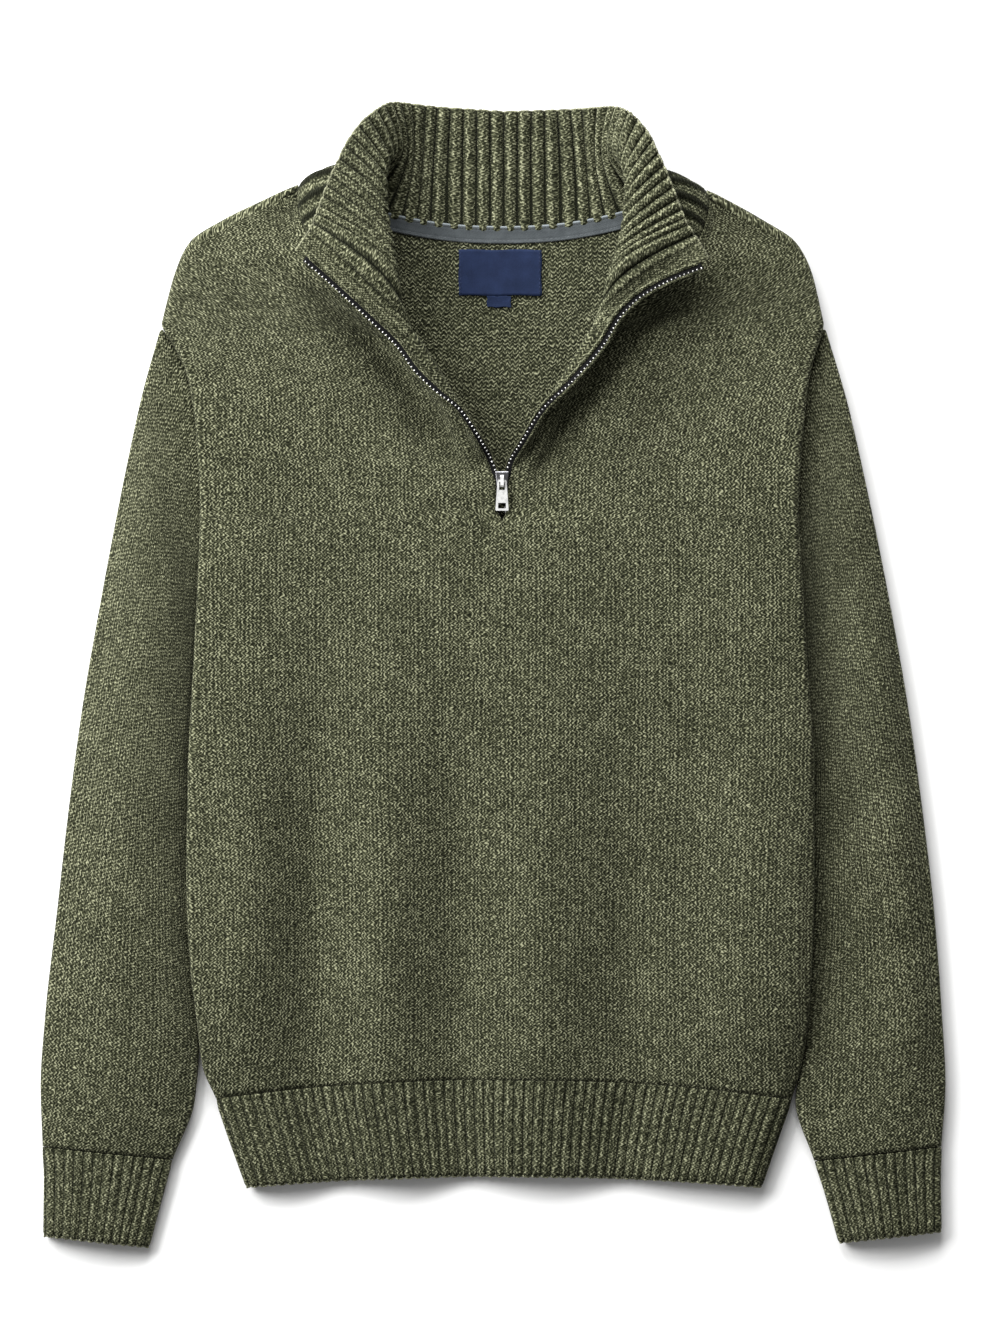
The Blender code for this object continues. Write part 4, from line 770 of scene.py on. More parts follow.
def tube_normals(grid):
    """Outward normals of a closed tube of rows."""
    ahead = np.roll(grid[:, :-1], -1, axis=1) - np.roll(grid[:, :-1], 1, axis=1)
    normals = unit(np.cross(ahead, np.gradient(grid[:, :-1], axis=0)))
    middle = grid[:, :-1].mean(axis=1, keepdims=True)
    if np.sum(normals * (grid[:, :-1] - middle)) < 0:
        normals = -normals
    return np.concatenate([normals, normals[:, :1]], axis=1)


def ribbed_tube(grid):
    """Tube with ribs along its rows, never below the table, and its places on the knit."""
    along = lengths(grid.mean(axis=1))
    ribs = round(lengths(grid[0])[-1] / RIB)
    across = np.linspace(0.0, ribs * RIB, grid.shape[1])
    wavy = ridges(across, RIB)[None]
    rise = np.clip(along / RIB_FADE, 0, 1)[:, None] * RIB_HEIGHT
    near_end = np.clip(1 - (along[-1] - along) / RIB_FADE, 0, 1)[:, None]
    end_way = unit(grid[-1] - grid[-3])[None]
    grid = (grid + tube_normals(grid) * (wavy * rise)[..., None]
            + end_way * (wavy * near_end * RIB_SCALLOP)[..., None])
    grid[..., 2] = np.maximum(grid[..., 2], FLOOR)
    return grid, knit_places(across[None], -along[:, None])


left, right = (straight_row(BODY_LOW, BODY_LOW + SAG[0], side) for side in ("left", "right"))
under = back_row(BODY_LOW)
section = even_loop(np.array(left + right[-2::-1] + under[-3:1:-1]), HEM_POINTS)
hem_rows = []
for k in np.concatenate([[0.0, 0.03], np.linspace(0.08, 1.94, 11), [2.0]]):
    row = table_row(HEM, HEM_COLUMNS, k)
    u = (section[:, 0] - HEM[0][2]) / (HEM[0][3] - HEM[0][2])
    y = row["y_side"] + (row["y_middle"] - row["y_side"]) * (1 - (2 * u - 1) ** 2)
    y = section[:, 1] - SEAM if k == 0 else np.minimum(y, section[:, 1] - SEAM - 1.5 * min(k, 1))
    z = FLOOR + (section[:, 2] - FLOOR) * row["height"]
    hem_rows.append(np.stack([row["left"] + u * (row["right"] - row["left"]), y, z], -1))
hem_grid, hem_map = ribbed_tube(np.array(hem_rows))
hem_rib = knit("hem rib", wale=RIB / 3, rib=RIB)
hem = sewn("hem_band", [(hem_grid, hem_map, True)], [hem_rib], full_between=(-304, -270))
worn_on_sweater(hem, "hem")

# ------------------------------------------------------------------ sleeves and cuffs
# Plain knit sleeves, each a tapered tube set on the body at the armhole, with a ribbed cuff
# knitted on its end. They lie flat beside the body with soft rounded edges.
TUBE_COLUMNS = ("inner_x", "inner_y", "outer_x", "outer_y", "edge_h", "crown_h")
SLEEVES = {
    "left": (
        (-203.5, 62, -231.0, 244, 9.2, 9.4),
        (-206.0, 30, -243.5, 201, 9.4, 15.0),
        (-208.5, -8, -257.5, 137, 9.6, 20.0),
        (-212.0, -60, -273.7, 53, 9.8, 22.5),
        (-213.0, -115, -286.5, -20, 10.0, 22.0),
        (-212.5, -165, -296.5, -93, 10.0, 22.0),
        (-210.0, -215, -305.0, -166, 10.0, 21.5),
        (-205.5, -258, -313.0, -235, 10.0, 20.5),
        (-208.5, -297, -316.4, -286, 10.0, 18.5),
        (-224.0, -338, -315.0, -329, 9.6, 14.0),
    ),
    "right": (
        (213.5, 62, 230.5, 244, 9.2, 9.4),
        (216.0, 30, 245.0, 198, 9.4, 11.5),
        (218.5, -8, 260.0, 134, 9.6, 14.0),
        (223.5, -60, 276.5, 53, 9.8, 16.0),
        (224.0, -115, 289.5, -20, 10.0, 17.5),
        (223.5, -165, 299.5, -90, 10.0, 17.5),
        (221.0, -215, 308.5, -166, 10.0, 17.5),
        (217.5, -258, 314.0, -238, 10.0, 17.0),
        (211.5, -297, 316.4, -284, 10.0, 16.0),
        (224.5, -339, 313.5, -329, 9.6, 14.0),
    ),
}
CUFFS = {
    "left": ((-224.3, -338.6, -315.0, -329.6, 9.6, 14.0),
             (-230.5, -361, -313.6, -351, 9.5, 13.6),
             (-240.7, -398.9, -314.0, -391, 9.4, 13.2)),
    "right": ((224.8, -339.6, 313.5, -329.6, 9.6, 14.0),
              (232.0, -361, 312.6, -351, 9.5, 13.6),
              (242.0, -395.7, 313.2, -388, 9.4, 13.2)),
}
# How the sleeve's crown leans away from the body, and how full its inner side is, at places
SLEEVE_SHAPE_AT, FULL = (0.0, 1.5, 7.0, 9.0), 0.95
SLEEVE_LEAN = {"left": (1.0, 1.0, 1.0, 1.0), "right": (1.0, 2.6, 2.6, 1.0)}
SLEEVE_FULL = {"left": (FULL, 0.5, 0.6, FULL), "right": (FULL, FULL, FULL, FULL)}
SLEEVE_TOP, SLEEVE_ROWS = 243.5, 118
ARMHOLE_IN, ARMHOLE_OUT = (3.0, 40.0), (4.3, 212.0, 31.5)     # depth, start of the second, reach
ARC = np.radians(np.linspace(-90, 90, 11))
TOP_COLUMN, CUFF_POINTS = 48, 216            # column on the sleeve's top, points round a cuff
# Soft folds across the sleeves: from, to, width and height
SLEEVE_FOLDS = {
    "left": (((-222, 40), (-262, 96), 15, 1.6), ((-218, -30), (-268, 30), 18, -1.4),
             ((-222, -96), (-284, -40), 16, 1.5), ((-220, -150), (-282, -96), 14, -1.7),
             ((-232, -206), (-296, -170), 15, 1.4), ((-240, -262), (-300, -240), 14, -1.2),
             ((-262, -322), (-270, -250), 10, 1.0)),
    "right": (((228, 36), (262, 90), 15, -1.5), ((232, -40), (272, 20), 17, 1.4),
              ((236, -110), (290, -52), 16, -1.5), ((232, -158), (290, -106), 14, 1.6),
              ((238, -214), (300, -180), 15, -1.4), ((240, -268), (304, -246), 14, 1.3),
              ((264, -322), (272, -256), 10, -1.0)),
}


def stroke(x, y, start, end, width, height):
    """Height of a soft fold along a line, dying away at its ends and sides."""
    start, end = np.array(start, float), np.array(end, float)
    way = end - start
    long = np.linalg.norm(way)
    t = ((x - start[0]) * way[0] + (y - start[1]) * way[1]) / long ** 2
    aside = ((x - start[0]) * way[1] - (y - start[1]) * way[0]) / long
    past_end = np.maximum(np.abs(t - 0.5) - 0.35, 0) / 0.22
    return height * np.exp(-(aside / width) ** 2 - past_end ** 2)


def armhole(s, side):
    """Plan of the armhole seam, from 0 at the armpit to 1 at the top of the sleeve."""
    y = ARMPIT[0] + (SLEEVE_TOP - ARMPIT[0]) * s
    x = float(curve(SIDES["y"], SIDES[side], y))
    deep, reach = ARMHOLE_IN
    inside = deep * min(1.0, (y - ARMPIT[0]) / reach)
    deep, start, reach = ARMHOLE_OUT
    inside -= deep * max(0.0, (y - start) / reach) ** 1.5
    return np.array([x + (inside if side == "left" else -inside), y])


def tube_row(row, lean=1.0, full=FULL, side=None, pull=0.0):
    """Closed loop of a flattened tube between its inner and outer edges. Its crown leans and
    fills as told, and near the armhole it is pulled onto the seam's line."""
    inner = np.array([row["inner_x"], row["inner_y"]])
    outer = np.array([row["outer_x"], row["outer_y"]])
    along = unit(outer - inner)
    length = np.linalg.norm(outer - inner)
    radius = (row["edge_h"] - WALL) / 2
    a = WALL / 2 + radius
    flat = length - 2 * a
    spots = [(a + flat * s, FLOOR) for s in np.linspace(0.04, 0.96, 22)]
    spots += [(length - a + radius * math.cos(t), FLOOR + radius * (1 + math.sin(t))) for t in ARC]
    for s in np.linspace(0.97, 0.03, 32):
        turned = s ** lean
        share = math.sin(math.pi * turned) ** (full if turned < 0.5 else FULL)
        dome = (row["crown_h"] - row["edge_h"]) * share
        spots.append((a + flat * s, FLOOR + 2 * radius + dome))
    spots += [(a - radius * math.cos(t), FLOOR + radius * (1 + math.sin(t))) for t in ARC[::-1]]
    loop = []
    for distance, z in spots:
        plan = inner + along * distance
        if pull:
            s = distance / length
            plan = plan + pull * (armhole(s, side) - plan)
            z = FLOOR + (z - FLOOR) * (1 - 0.4 * pull * np.interp(s, (0.72, 0.96), (0, 1)))
        loop.append([plan[0], plan[1], z])
    return np.array(loop)


cuff_rib = knit("cuff rib", wale=RIB / 3, rib=RIB)
cuff_ends = {}
for half in ("left", "right"):
    rows = []
    for k in np.linspace(0.0, len(SLEEVES[half]) - 1.0, SLEEVE_ROWS):
        lean, full = (np.interp(k, SLEEVE_SHAPE_AT, shape[half]) for shape in (SLEEVE_LEAN, SLEEVE_FULL))
        row = table_row(SLEEVES[half], TUBE_COLUMNS, k)
        rows.append(tube_row(row, lean, full, half, max(0.0, 1 - k) ** 2))
    rows = np.array(rows)
    rows[0] += unit(rows[1] - rows[0]) * SEAM / 2
    rows[-1] += unit(rows[-2] - rows[-1]) * SEAM / 2
    up = np.clip((rows[..., 2] - 7.0) / 4.0, 0, 1)
    for fold in SLEEVE_FOLDS[half]:
        rows[..., 2] += up * stroke(rows[..., 0], rows[..., 1], *fold)
    rows = np.concatenate([rows, rows[:, :1]], axis=1)
    around, down = lengths(rows, axis=1), lengths(rows.mean(axis=1))
    places = knit_places(around - around[:, TOP_COLUMN, None], -down[:, None])
    sleeve = sewn("sleeve_tube_" + half, [(rows, places, half == "right")], [knit_face],
                  full_between=(-400, -318))
    worn_on_sweater(sleeve, "sleeve_" + half)

    rows = []
    for k in np.concatenate([[0.0, 0.04], np.linspace(0.12, 1.94, 11), [2.0]]):
        rows.append(even_loop(tube_row(table_row(CUFFS[half], TUBE_COLUMNS, k)), CUFF_POINTS))
    grid, places = ribbed_tube(np.array(rows))
    cuff_ends[half] = grid[-3:]
    cuff = sewn("cuff_band_" + half, [(grid, places, half == "right")], [cuff_rib],
                full_between=(-345, -318))
    worn_on_sweater(cuff, "cuff_" + half)

# ------------------------------------------------------------------ collar
# Stand collar in a deep rib, sewn to the neck seam. Its back stands up and lies against the
# table, and its front halves fall outward. Beside the zip it ends in a plain band.
COLLAR_RIB, COLLAR_RIB_HEIGHT, PLAIN_BAND, SCALLOP = 9.6, 2.3, 17.0, 0.35
BAND_FULL = 0.6                              # how full the plain band stands beside the ribs
OUTER_STRIP = ((4.5, 7.0), (5.0, 45.0))      # stations, and how far up its ribs take to rise
COLLAR_GAP = ((5.0, 6.5, 7.3, 8.0, 11.0, 12.0, 12.5, 13.0, 14.0),      # stations and seam gaps
              (0.1, 0.6, 0.4, 0.1, 0.2, 1.2, 1.8, 1.2, 0.4))
COLLAR_STEP, BAND_BLEND, EDGE_REACH = 1.15, 3.0, 7.0
heights = np.concatenate([[0.0, 0.012], np.linspace(0.035, 0.975, 36), [0.99, 1.0]])
halves = {}
for half in ("left", "right"):
    spacing = np.mean([lengths(line) for line in COLLAR_LINES[half]], axis=0)
    stations = np.arange(len(spacing))
    at = np.append(np.interp(np.arange(0.0, spacing[-1], COLLAR_STEP), spacing, stations), stations[-1])
    grid = collar_surface(half, at, heights)
    for row, station in zip(grid, at):
        row[0] += unit(row[1] - row[0]) * np.interp(station, *COLLAR_GAP)
    sign = -1 if half == "left" else 1
    halves[half] = grid, np.interp(at, stations, spacing) * sign, at
collar_grid, collar_run, collar_at = (np.concatenate([left[::-1], right[1:]])
                                      for left, right in zip(halves["left"], halves["right"]))
from_end = np.minimum(collar_run - collar_run[0], collar_run[-1] - collar_run)
ribs_here = np.clip((from_end - PLAIN_BAND) / BAND_BLEND, 0, 1)
collar_up = lengths(collar_grid, axis=1)
fade = np.clip(collar_up / np.interp(collar_at, *OUTER_STRIP)[:, None], 0, 1) ** 1.2
wavy = (ridges(collar_run, COLLAR_RIB) * ribs_here + BAND_FULL * (1 - ribs_here))[:, None]
near_edge = np.clip(1 - (collar_up[:, -1:] - collar_up) / EDGE_REACH, 0, 1)
edge_way = unit(collar_grid[:, -1] - collar_grid[:, -4])[:, None]
collar_out = unit(np.cross(np.gradient(collar_grid, axis=1), np.gradient(collar_grid, axis=0)))
if collar_out[..., 2].mean() < 0:
    collar_out = -collar_out
collar_grid = (collar_grid + collar_out * (wavy * fade * COLLAR_RIB_HEIGHT)[..., None]
               + edge_way * (wavy * near_edge * SCALLOP)[..., None])
collar_grid[..., 2] = np.maximum(collar_grid[..., 2], FLOOR)
middle, half_run = (collar_run[-1] + collar_run[0]) / 2, (collar_run[-1] - collar_run[0]) / 2
# The collar's rib valleys get strong painted shade.
collar_rib = knit("collar rib", wale=COLLAR_RIB / 3, course=2.5, rib=COLLAR_RIB, valley_shade_by=(5.0, 2.0),
                  valley_shade_span=(middle * 0.001, (half_run - PLAIN_BAND) * 0.001))
collar_map = knit_places(collar_run[:, None], collar_up)
collar = sewn("collar_stand", [(collar_grid, collar_map, False)], [collar_rib])
worn_on_sweater(collar, "collar")

# ------------------------------------------------------------------ neck tape and labels
# Twill tape over the back neck seam, its two edges folded under, and below it a plain navy
# woven label and a small size tab, both left without any print.
NECK_TAPE_WIDTH, TRIM_THICK = 12.0, 0.6
PIPING = ((0.55, 0.86, 0.09), (-0.25, 0.66, 0.07))             # height, place across and width
LABEL, SIZE_TAB = (-24.0, 34.0, 265.7, 297.9), (-4.2, 12.6, 257.6, 265.4)
TWILL_DARK, TWILL_LIGHT = (0.020, 0.025, 0.028), (0.082, 0.093, 0.098)
NAVY_DARK, NAVY_LIGHT = (0.005, 0.009, 0.024), (0.016, 0.027, 0.070)
THREADS = 420.0
TAPE_HALF_RUN, TAPE_ROW_COUNT = 3.4, 52      # stations of the collar it runs past, and its rows


def woven(name, dark, light, slant, sheen, piped=0.0):
    """Fine woven cloth: threads in two directions, a slow unevenness and paler piped edges."""
    made, tree, shader = finish_of(name, 0.8, sheen=sheen, specular=0.1)
    place = wired(tree, "ShaderNodeUVMap", uv_map="cloth")

    def blend(value, share, rest):
        return wired(tree, "ShaderNodeMath", value, share, rest, operation="MULTIPLY_ADD")

    turned = wired(tree, "ShaderNodeMapping", place, None, (0.0, 0.0, slant))
    twill = wired(tree, "ShaderNodeTexWave", turned, THREADS, 0.8, 2.0)
    fibre, cloud = noise_at(tree, place, 900.0, 2.0), noise_at(tree, place, 90.0, 3.0)
    tone = blend(twill, 0.4, blend(fibre, 0.35, blend(cloud, 0.6, -0.2)))
    if piped:
        off = blend(wired(tree, "ShaderNodeSeparateXYZ", place), 2000.0 / piped, -1.0)
        off = wired(tree, "ShaderNodeMath", off, operation="ABSOLUTE")
        tone = blend(wired(tree, "ShaderNodeMath", off, 8.0, operation="POWER"), 0.6, tone)
    pale = tuple(c * 2.0 for c in light) if piped else light
    graded(tree, tone, shader.inputs["Base Color"], (0.15, dark), (0.85, light), (1.0, pale))
    bumped(tree, shader, 0.5, 0.0003, twill)
    return made


tape_lift = WALL / 2 + SEAM + TRIM_THICK / 2
tape_rows = []
for half, order in (("left", -1), ("right", 1)):
    for k in np.linspace(TAPE_HALF_RUN, 0.0, TAPE_ROW_COUNT)[::-order][(0 if order < 0 else 1):]:
        line = collar_surface(half, np.array([k]), np.linspace(0, 0.2, 21))[0]
        along = lengths(line)
        slope = (neckline(line[0][0] + 1) - neckline(line[0][0] - 1)) / 2
        down_way = np.array([slope, -1.0, 0.0]) / math.hypot(slope, 1.0)
        row = []
        for w in np.linspace(-1.0, 1.0, 13):
            reach = abs(w) * NECK_TAPE_WIDTH / 2
            point = line[0] + down_way * reach if w < 0 else at_places(reach, along, line)
            piped = sum(rise * math.exp(-((abs(w) - place) / wide) ** 2) for rise, place, wide in PIPING)
            row.append(point + (0.0, 0.0, tape_lift + piped + (0.45 * w if w > 0 else 0.0)))
        tape_rows.append(row)
tape_rows = np.array(tape_rows)
places = knit_places(lengths(tape_rows, axis=1), lengths(tape_rows[:, 6])[:, None])
twill = woven("neck twill", TWILL_DARK, TWILL_LIGHT, 0.8, 0.3, piped=NECK_TAPE_WIDTH)
neck_tape = sewn("neck_seam_tape", [(tape_rows, places, False)], [twill], thickness=TRIM_THICK, lip=0.9)
worn_on_sweater(neck_tape, "neck_tape")

# Both labels lie on the back, their edges rippled a little
navy = woven("navy weave", NAVY_DARK, NAVY_LIGHT, 0.0, 0.0)
for name, box, node, ripple in (("woven_label", LABEL, "label", 0.5),
                                ("size_tab_weave", SIZE_TAB, "size_tab", 0.2)):
    left, right, bottom, top = box
    width, height = right - left, top - bottom
    u, v = np.meshgrid(np.linspace(0, 1, 30), np.linspace(0, 1, 18))
    x = left + width * u + 0.25 * np.sin(v * 9.0 + 1.0) * (np.abs(u - 0.5) * 2) ** 6
    y = bottom + height * v + 0.3 * np.sin(u * 11.0) * (np.abs(v - 0.5) * 2) ** 6
    edge = np.minimum(np.minimum(u, 1 - u) * width, np.minimum(v, 1 - v) * height)
    rippled = ripple * np.sin(u * 7.0 + v * 2.0) ** 2 + 0.25 * np.exp(-(edge / 1.6) ** 2)
    grid = np.stack([x, y, WALL + SEAM + TRIM_THICK / 2 + rippled], -1)
    made = sewn(name, [(grid, grid[..., :2], True)], [navy], thickness=TRIM_THICK, lip=0.8, lip_width=1.0)
    worn_on_sweater(made, node)

# ------------------------------------------------------------------ zip
# Metal zip on black woven tape, sewn behind the two edges of the opening and up the inside
# of the collar. The tape's inner side is hidden under a soft welt of the plain band.
# Place up the placket, the tape's reach past the turned edge, its lift off the knit
TAPE_ROWS = ((0, 3.9, 0.0), (2, 3.6, 0.0), (2.5, 4.0, 0.5), (3, 4.4, 0.9), (4, 3.9, 0.9),
             (5, 2.2, 0.5), (6, 0.8, 0.4), (7, -0.3, 0.3), (8, 0.2, 0.3), (9, 0.3, 0.3))
# The line of the teeth beside the opening's lower half, where the tape lies open and flat
ZIP_LINE = {
    "left": ((3.6, 120), (3.4, 136), (1.6, 144.3), (-2.1, 152.9), (-5.5, 159), (-14.4, 173.7),
             (-25.5, 188.3), (-42.4, 203.3), (-50.8, 210), (-59.3, 218.6), (-65.8, 228.6), (-76, 238.8)),
    "right": ((9.0, 120), (9.2, 136), (9.7, 144.3), (11.2, 149), (17.6, 159), (31.9, 181.9),
              (48.2, 199.6), (62.5, 214.6), (76.4, 232.9), (88.2, 247.7)),
}
FLAT_UPTO, FOLDED_FROM = 5.4, 7.0           # places where it starts to turn over, and has turned
FLAT_LIFT = ((0.0, 0.6, 1.6, 9.0), (-2.3, -2.3, 0.9, 1.1))
FLAT_SPAN = ((0.0, -3.2, 1.0), (2.0, -2.9, 0.9), (4.5, -2.6, 1.2), (6.0, -1.9, 2.2), (9.0, -0.8, 3.6))
COLLAR_REACH = {"left": ((0.0, 0.4, 0.7, 0.92), (0.3, -0.6, 0.4, 2.0)),
                "right": ((0.0, 0.4, 0.7, 0.92), (-2.2, -1.8, 1.2, 4.2))}
COLLAR_ZIP_LOW, COLLAR_ZIP_TOP, COLLAR_ZIP_ROWS = 0.12, {"left": 0.915, "right": 0.93}, 24
TAPE_STEP = 1.6
TAPE_THICK, TAPE_BELOW, SLIDER_MOUTH = 1.0, 12.0, 143.0
TAPE_ACROSS = (0.0, 0.8, 1.7, 2.6, 3.5, 4.4)
TOOTH_PITCH, TOOTH_SIZE, TOOTH_ROUND, TOOTH_UP = 3.15, (1.8, 1.25, 1.8), 0.5, 0.3
WELTS = (                                    # column it follows, how far out, radius low and high
    ("facing_roll_", -1, 0.6, (0.5, 1.5)),
    ("edge_roll_", 0, -0.5, (0.9, 1.0)),
)


def collar_tape_row(side, height, lift):
    """Points across the tape at the collar's end, moved out from its surface."""
    near = np.array([max(height - 0.03, 0.0), height, min(height + 0.03, 1.0)])
    grid = collar_surface(side, np.linspace(11.0, 16.0, 81), near)[::-1]
    line, up_strip = grid[:, 1], unit(grid[:, 2] - grid[:, 0])
    inward = lengths(line)
    reach = np.interp(height, *COLLAR_REACH[side])
    first = unit(line[2] - line[0])
    across = at_places(2.0, inward, line) - line[0]
    normal = unit(np.cross(across, at_places(1.0, inward, up_strip)))
    away = (normal if normal[2] > 0 else -normal) * lift
    return [at_places(w - reach, inward, line) + first * min(w - reach, 0.0) + away
            for w in (TAPE_ACROSS[1], *TAPE_ACROSS)]


def tape_grid(side):
    """Rows across one tape from below the slider to the collar's top, and its line of teeth."""
    turned, places, turns, toward = turned_rows(side, PLACKET_ROWS)
    base = WALL / 2 + SEAM + TAPE_THICK / 2
    at, reaches, lifts = np.array(TAPE_ROWS).T
    keys, outer, inner = np.array(FLAT_SPAN).T
    drawn = np.array(ZIP_LINE[side], float)
    drawn = natural(lengths(drawn), drawn, np.linspace(0, lengths(drawn)[-1], 400))
    rows = []
    for end, place, turn, aside in zip(turned[:, -1], places, turns, toward):
        reach, lift = np.interp(place, at, reaches), base + np.interp(place, at, lifts)
        way = np.array([*aside * math.cos(turn), math.sin(turn)])
        under = np.array([*aside * math.sin(turn), -math.cos(turn)])
        folded = [end + way * (reach - w) + under * lift for w in (TAPE_ACROSS[1], *TAPE_ACROSS)]
        spot = drawn[np.argmin(np.linalg.norm(drawn - end[:2], axis=1))]
        spot = np.array([*spot, end[2] + np.interp(place, *FLAT_LIFT)])
        ends = np.interp(place, keys, outer), np.interp(place, keys, inner)
        spans = (0.0, *np.linspace(*ends, len(TAPE_ACROSS)))
        flat = [spot + np.array([*aside, 0.0]) * w for w in spans]
        share = min(max((place - FLAT_UPTO) / (FOLDED_FROM - FLAT_UPTO), 0.0), 1.0)
        share = share * share * (3 - 2 * share)
        rows.append(np.array(folded) * share + np.array(flat) * (1 - share))
    below = [rows[0] - (0.0, TAPE_BELOW * s, 0.6 * s) for s in (1.0, 0.66, 0.33)]
    above = [collar_tape_row(side, height, base + 0.2)
             for height in np.linspace(COLLAR_ZIP_LOW, COLLAR_ZIP_TOP[side], COLLAR_ZIP_ROWS)]
    rows = smooth_even(np.array(below + rows + above), TAPE_STEP)
    return rows[:, 1:], rows[:, 0]


def smooth_even(rows, pitch):
    """Rows respaced evenly along their length, with small unevenness smoothed."""
    for _ in range(4):
        rows[1:-1] = rows[1:-1] * 0.5 + (rows[:-2] + rows[2:]) * 0.25
    spacing = lengths(rows[:, 0])
    at = np.linspace(0, spacing[-1], int(spacing[-1] / pitch))
    flat = rows.reshape(len(rows), -1)
    return np.stack([curve(spacing, column, at) for column in flat.T], -1).reshape(len(at), -1, 3)


def small_part(name, size, round_by):
    """Object of one small block with its edges rounded, standing on its middle."""
    bm = bmesh.new()
    bmesh.ops.create_cube(bm, size=1.0)
    bmesh.ops.scale(bm, vec=[s * 0.001 for s in size], verts=bm.verts)
    bmesh.ops.bevel(bm, geom=bm.edges[:], offset=round_by * 0.001, segments=1, affect="EDGES")
    mesh = mesh_of(name, bm)
    mesh.shade_smooth()
    return bpy.data.objects.new(name, mesh)


def row_tree():
    """Geometry Nodes tree that sets a part on every point, turned along its way and up."""
    tree = bpy.data.node_groups.new("row of parts", "GeometryNodeTree")
    for label, kind in (("Spots", "Geometry"), ("Part", "Object"), ("Look", "Material")):
        tree.interface.new_socket(label, in_out="INPUT", socket_type="NodeSocket" + kind)
    tree.interface.new_socket("Row", in_out="OUTPUT", socket_type="NodeSocketGeometry")
    given = tree.nodes.new("NodeGroupInput")
    up, way = (wired(tree, "GeometryNodeInputNamedAttribute", label, data_type="FLOAT_VECTOR")
               for label in ("up", "way"))
    stand = wired(tree, "FunctionNodeAlignRotationToVector", None, 1.0, up, axis="Z")
    turned = wired(tree, "FunctionNodeAlignRotationToVector", stand, 1.0, way, axis="Y", pivot_axis="Z")
    part = wired(tree, "GeometryNodeObjectInfo", given.outputs["Part"]).node.outputs["Geometry"]
    placed = wired(tree, "GeometryNodeInstanceOnPoints", given.outputs["Spots"], None, part, None, None,
                   turned)
    solid = wired(tree, "GeometryNodeRealizeInstances", placed)
    dressed = wired(tree, "GeometryNodeSetMaterial", solid, None, given.outputs["Look"])
    tree.links.new(dressed, tree.nodes.new("NodeGroupOutput").inputs["Row"])
    return tree


ROW_TREE = row_tree()


def row_of(name, at, along, line, ways, ups, part, look):
    """A part at every place along a line, as one plain mesh carried by the sweater."""
    mesh = bpy.data.meshes.new(name + " spots")
    mesh.from_pydata([list(p) for p in at_places(at, along, line) * 0.001], [], [])
    for label, vectors in (("way", ways), ("up", ups)):
        mesh.attributes.new(label, "FLOAT_VECTOR", "POINT")
        turned = unit(at_places(at, along, vectors))
        mesh.attributes[label].data.foreach_set("vector", turned.ravel())
    holder = in_scene(name + " spots", mesh)
    nodes = holder.modifiers.new("Row", "NODES")
    nodes.node_group = ROW_TREE
    given = {item.name: item.identifier for item in ROW_TREE.interface.items_tree
             if item.in_out == "INPUT"}
    for label, value in (("Part", part), ("Look", look)):
        nodes[given[label]] = value
    graph = bpy.context.evaluated_depsgraph_get()
    made_mesh = bpy.data.meshes.new_from_object(holder.evaluated_get(graph), depsgraph=graph)
    bpy.data.objects.remove(holder)
    made_mesh.name = name
    worn_on_sweater(in_scene(name, made_mesh))


def roll(name, line, radius, look, sides=9):
    """Soft round roll of cloth along a line, closed at its ends."""
    tangent = unit(np.gradient(line, axis=0))
    aside = unit(np.cross(tangent, (0.0, 0.0, 1.0)))
    over = np.cross(aside, tangent)
    shrink = radius.copy()
    shrink[[0, -1]] *= 0.05
    shrink[[1, -2]] *= 0.75
    turns = np.linspace(0, 2 * math.pi, sides)
    round_line = [line + (aside * math.cos(t) + over * math.sin(t)) * shrink[:, None] for t in turns]
    places = knit_places(turns[None] * radius.mean(), lengths(line)[:, None])
    bm = bmesh.new()
    verts = cloth_grid(bm, np.stack(round_line, 1), places, False, closed=True)
    for end in (verts[0], verts[-1][::-1]):
        bm.faces.new(end)
    bmesh.ops.recalc_face_normals(bm, faces=bm.faces)
    made = in_scene(name, mesh_of(name, bm))
    made.data.materials.append(look)
    made.data.shade_smooth()
    return made


tape_look, tree, shader = finish_of("black tape", 0.85, specular=0.08)
place = wired(tree, "ShaderNodeUVMap", uv_map="cloth")
weave = wired(tree, "ShaderNodeTexWave", place, 700.0, 0.6, 1.0, bands_direction="DIAGONAL")
graded(tree, weave, shader.inputs["Base Color"],
       (0.0, (0.002, 0.002, 0.002)), (1.0, (0.010, 0.010, 0.011)))
bumped(tree, shader, 0.5, 0.0003, weave)

tooth_look, tree, shader = finish_of("tooth metal", 0.30, metallic=0.8)
worn = noise_at(tree, object_place(tree), 700.0, 2.0)
graded(tree, worn, shader.inputs["Base Color"], (0.35, (0.20, 0.20, 0.19)), (0.6, (0.60, 0.60, 0.58)))
graded(tree, worn, shader.inputs["Roughness"], (0.3, (0.45, 0.45, 0.45)), (0.7, (0.25, 0.25, 0.25)))
tooth = small_part("tooth", TOOTH_SIZE, TOOTH_ROUND)
welt_knit = knit("welt knit", wale=2.4, course=2.3)

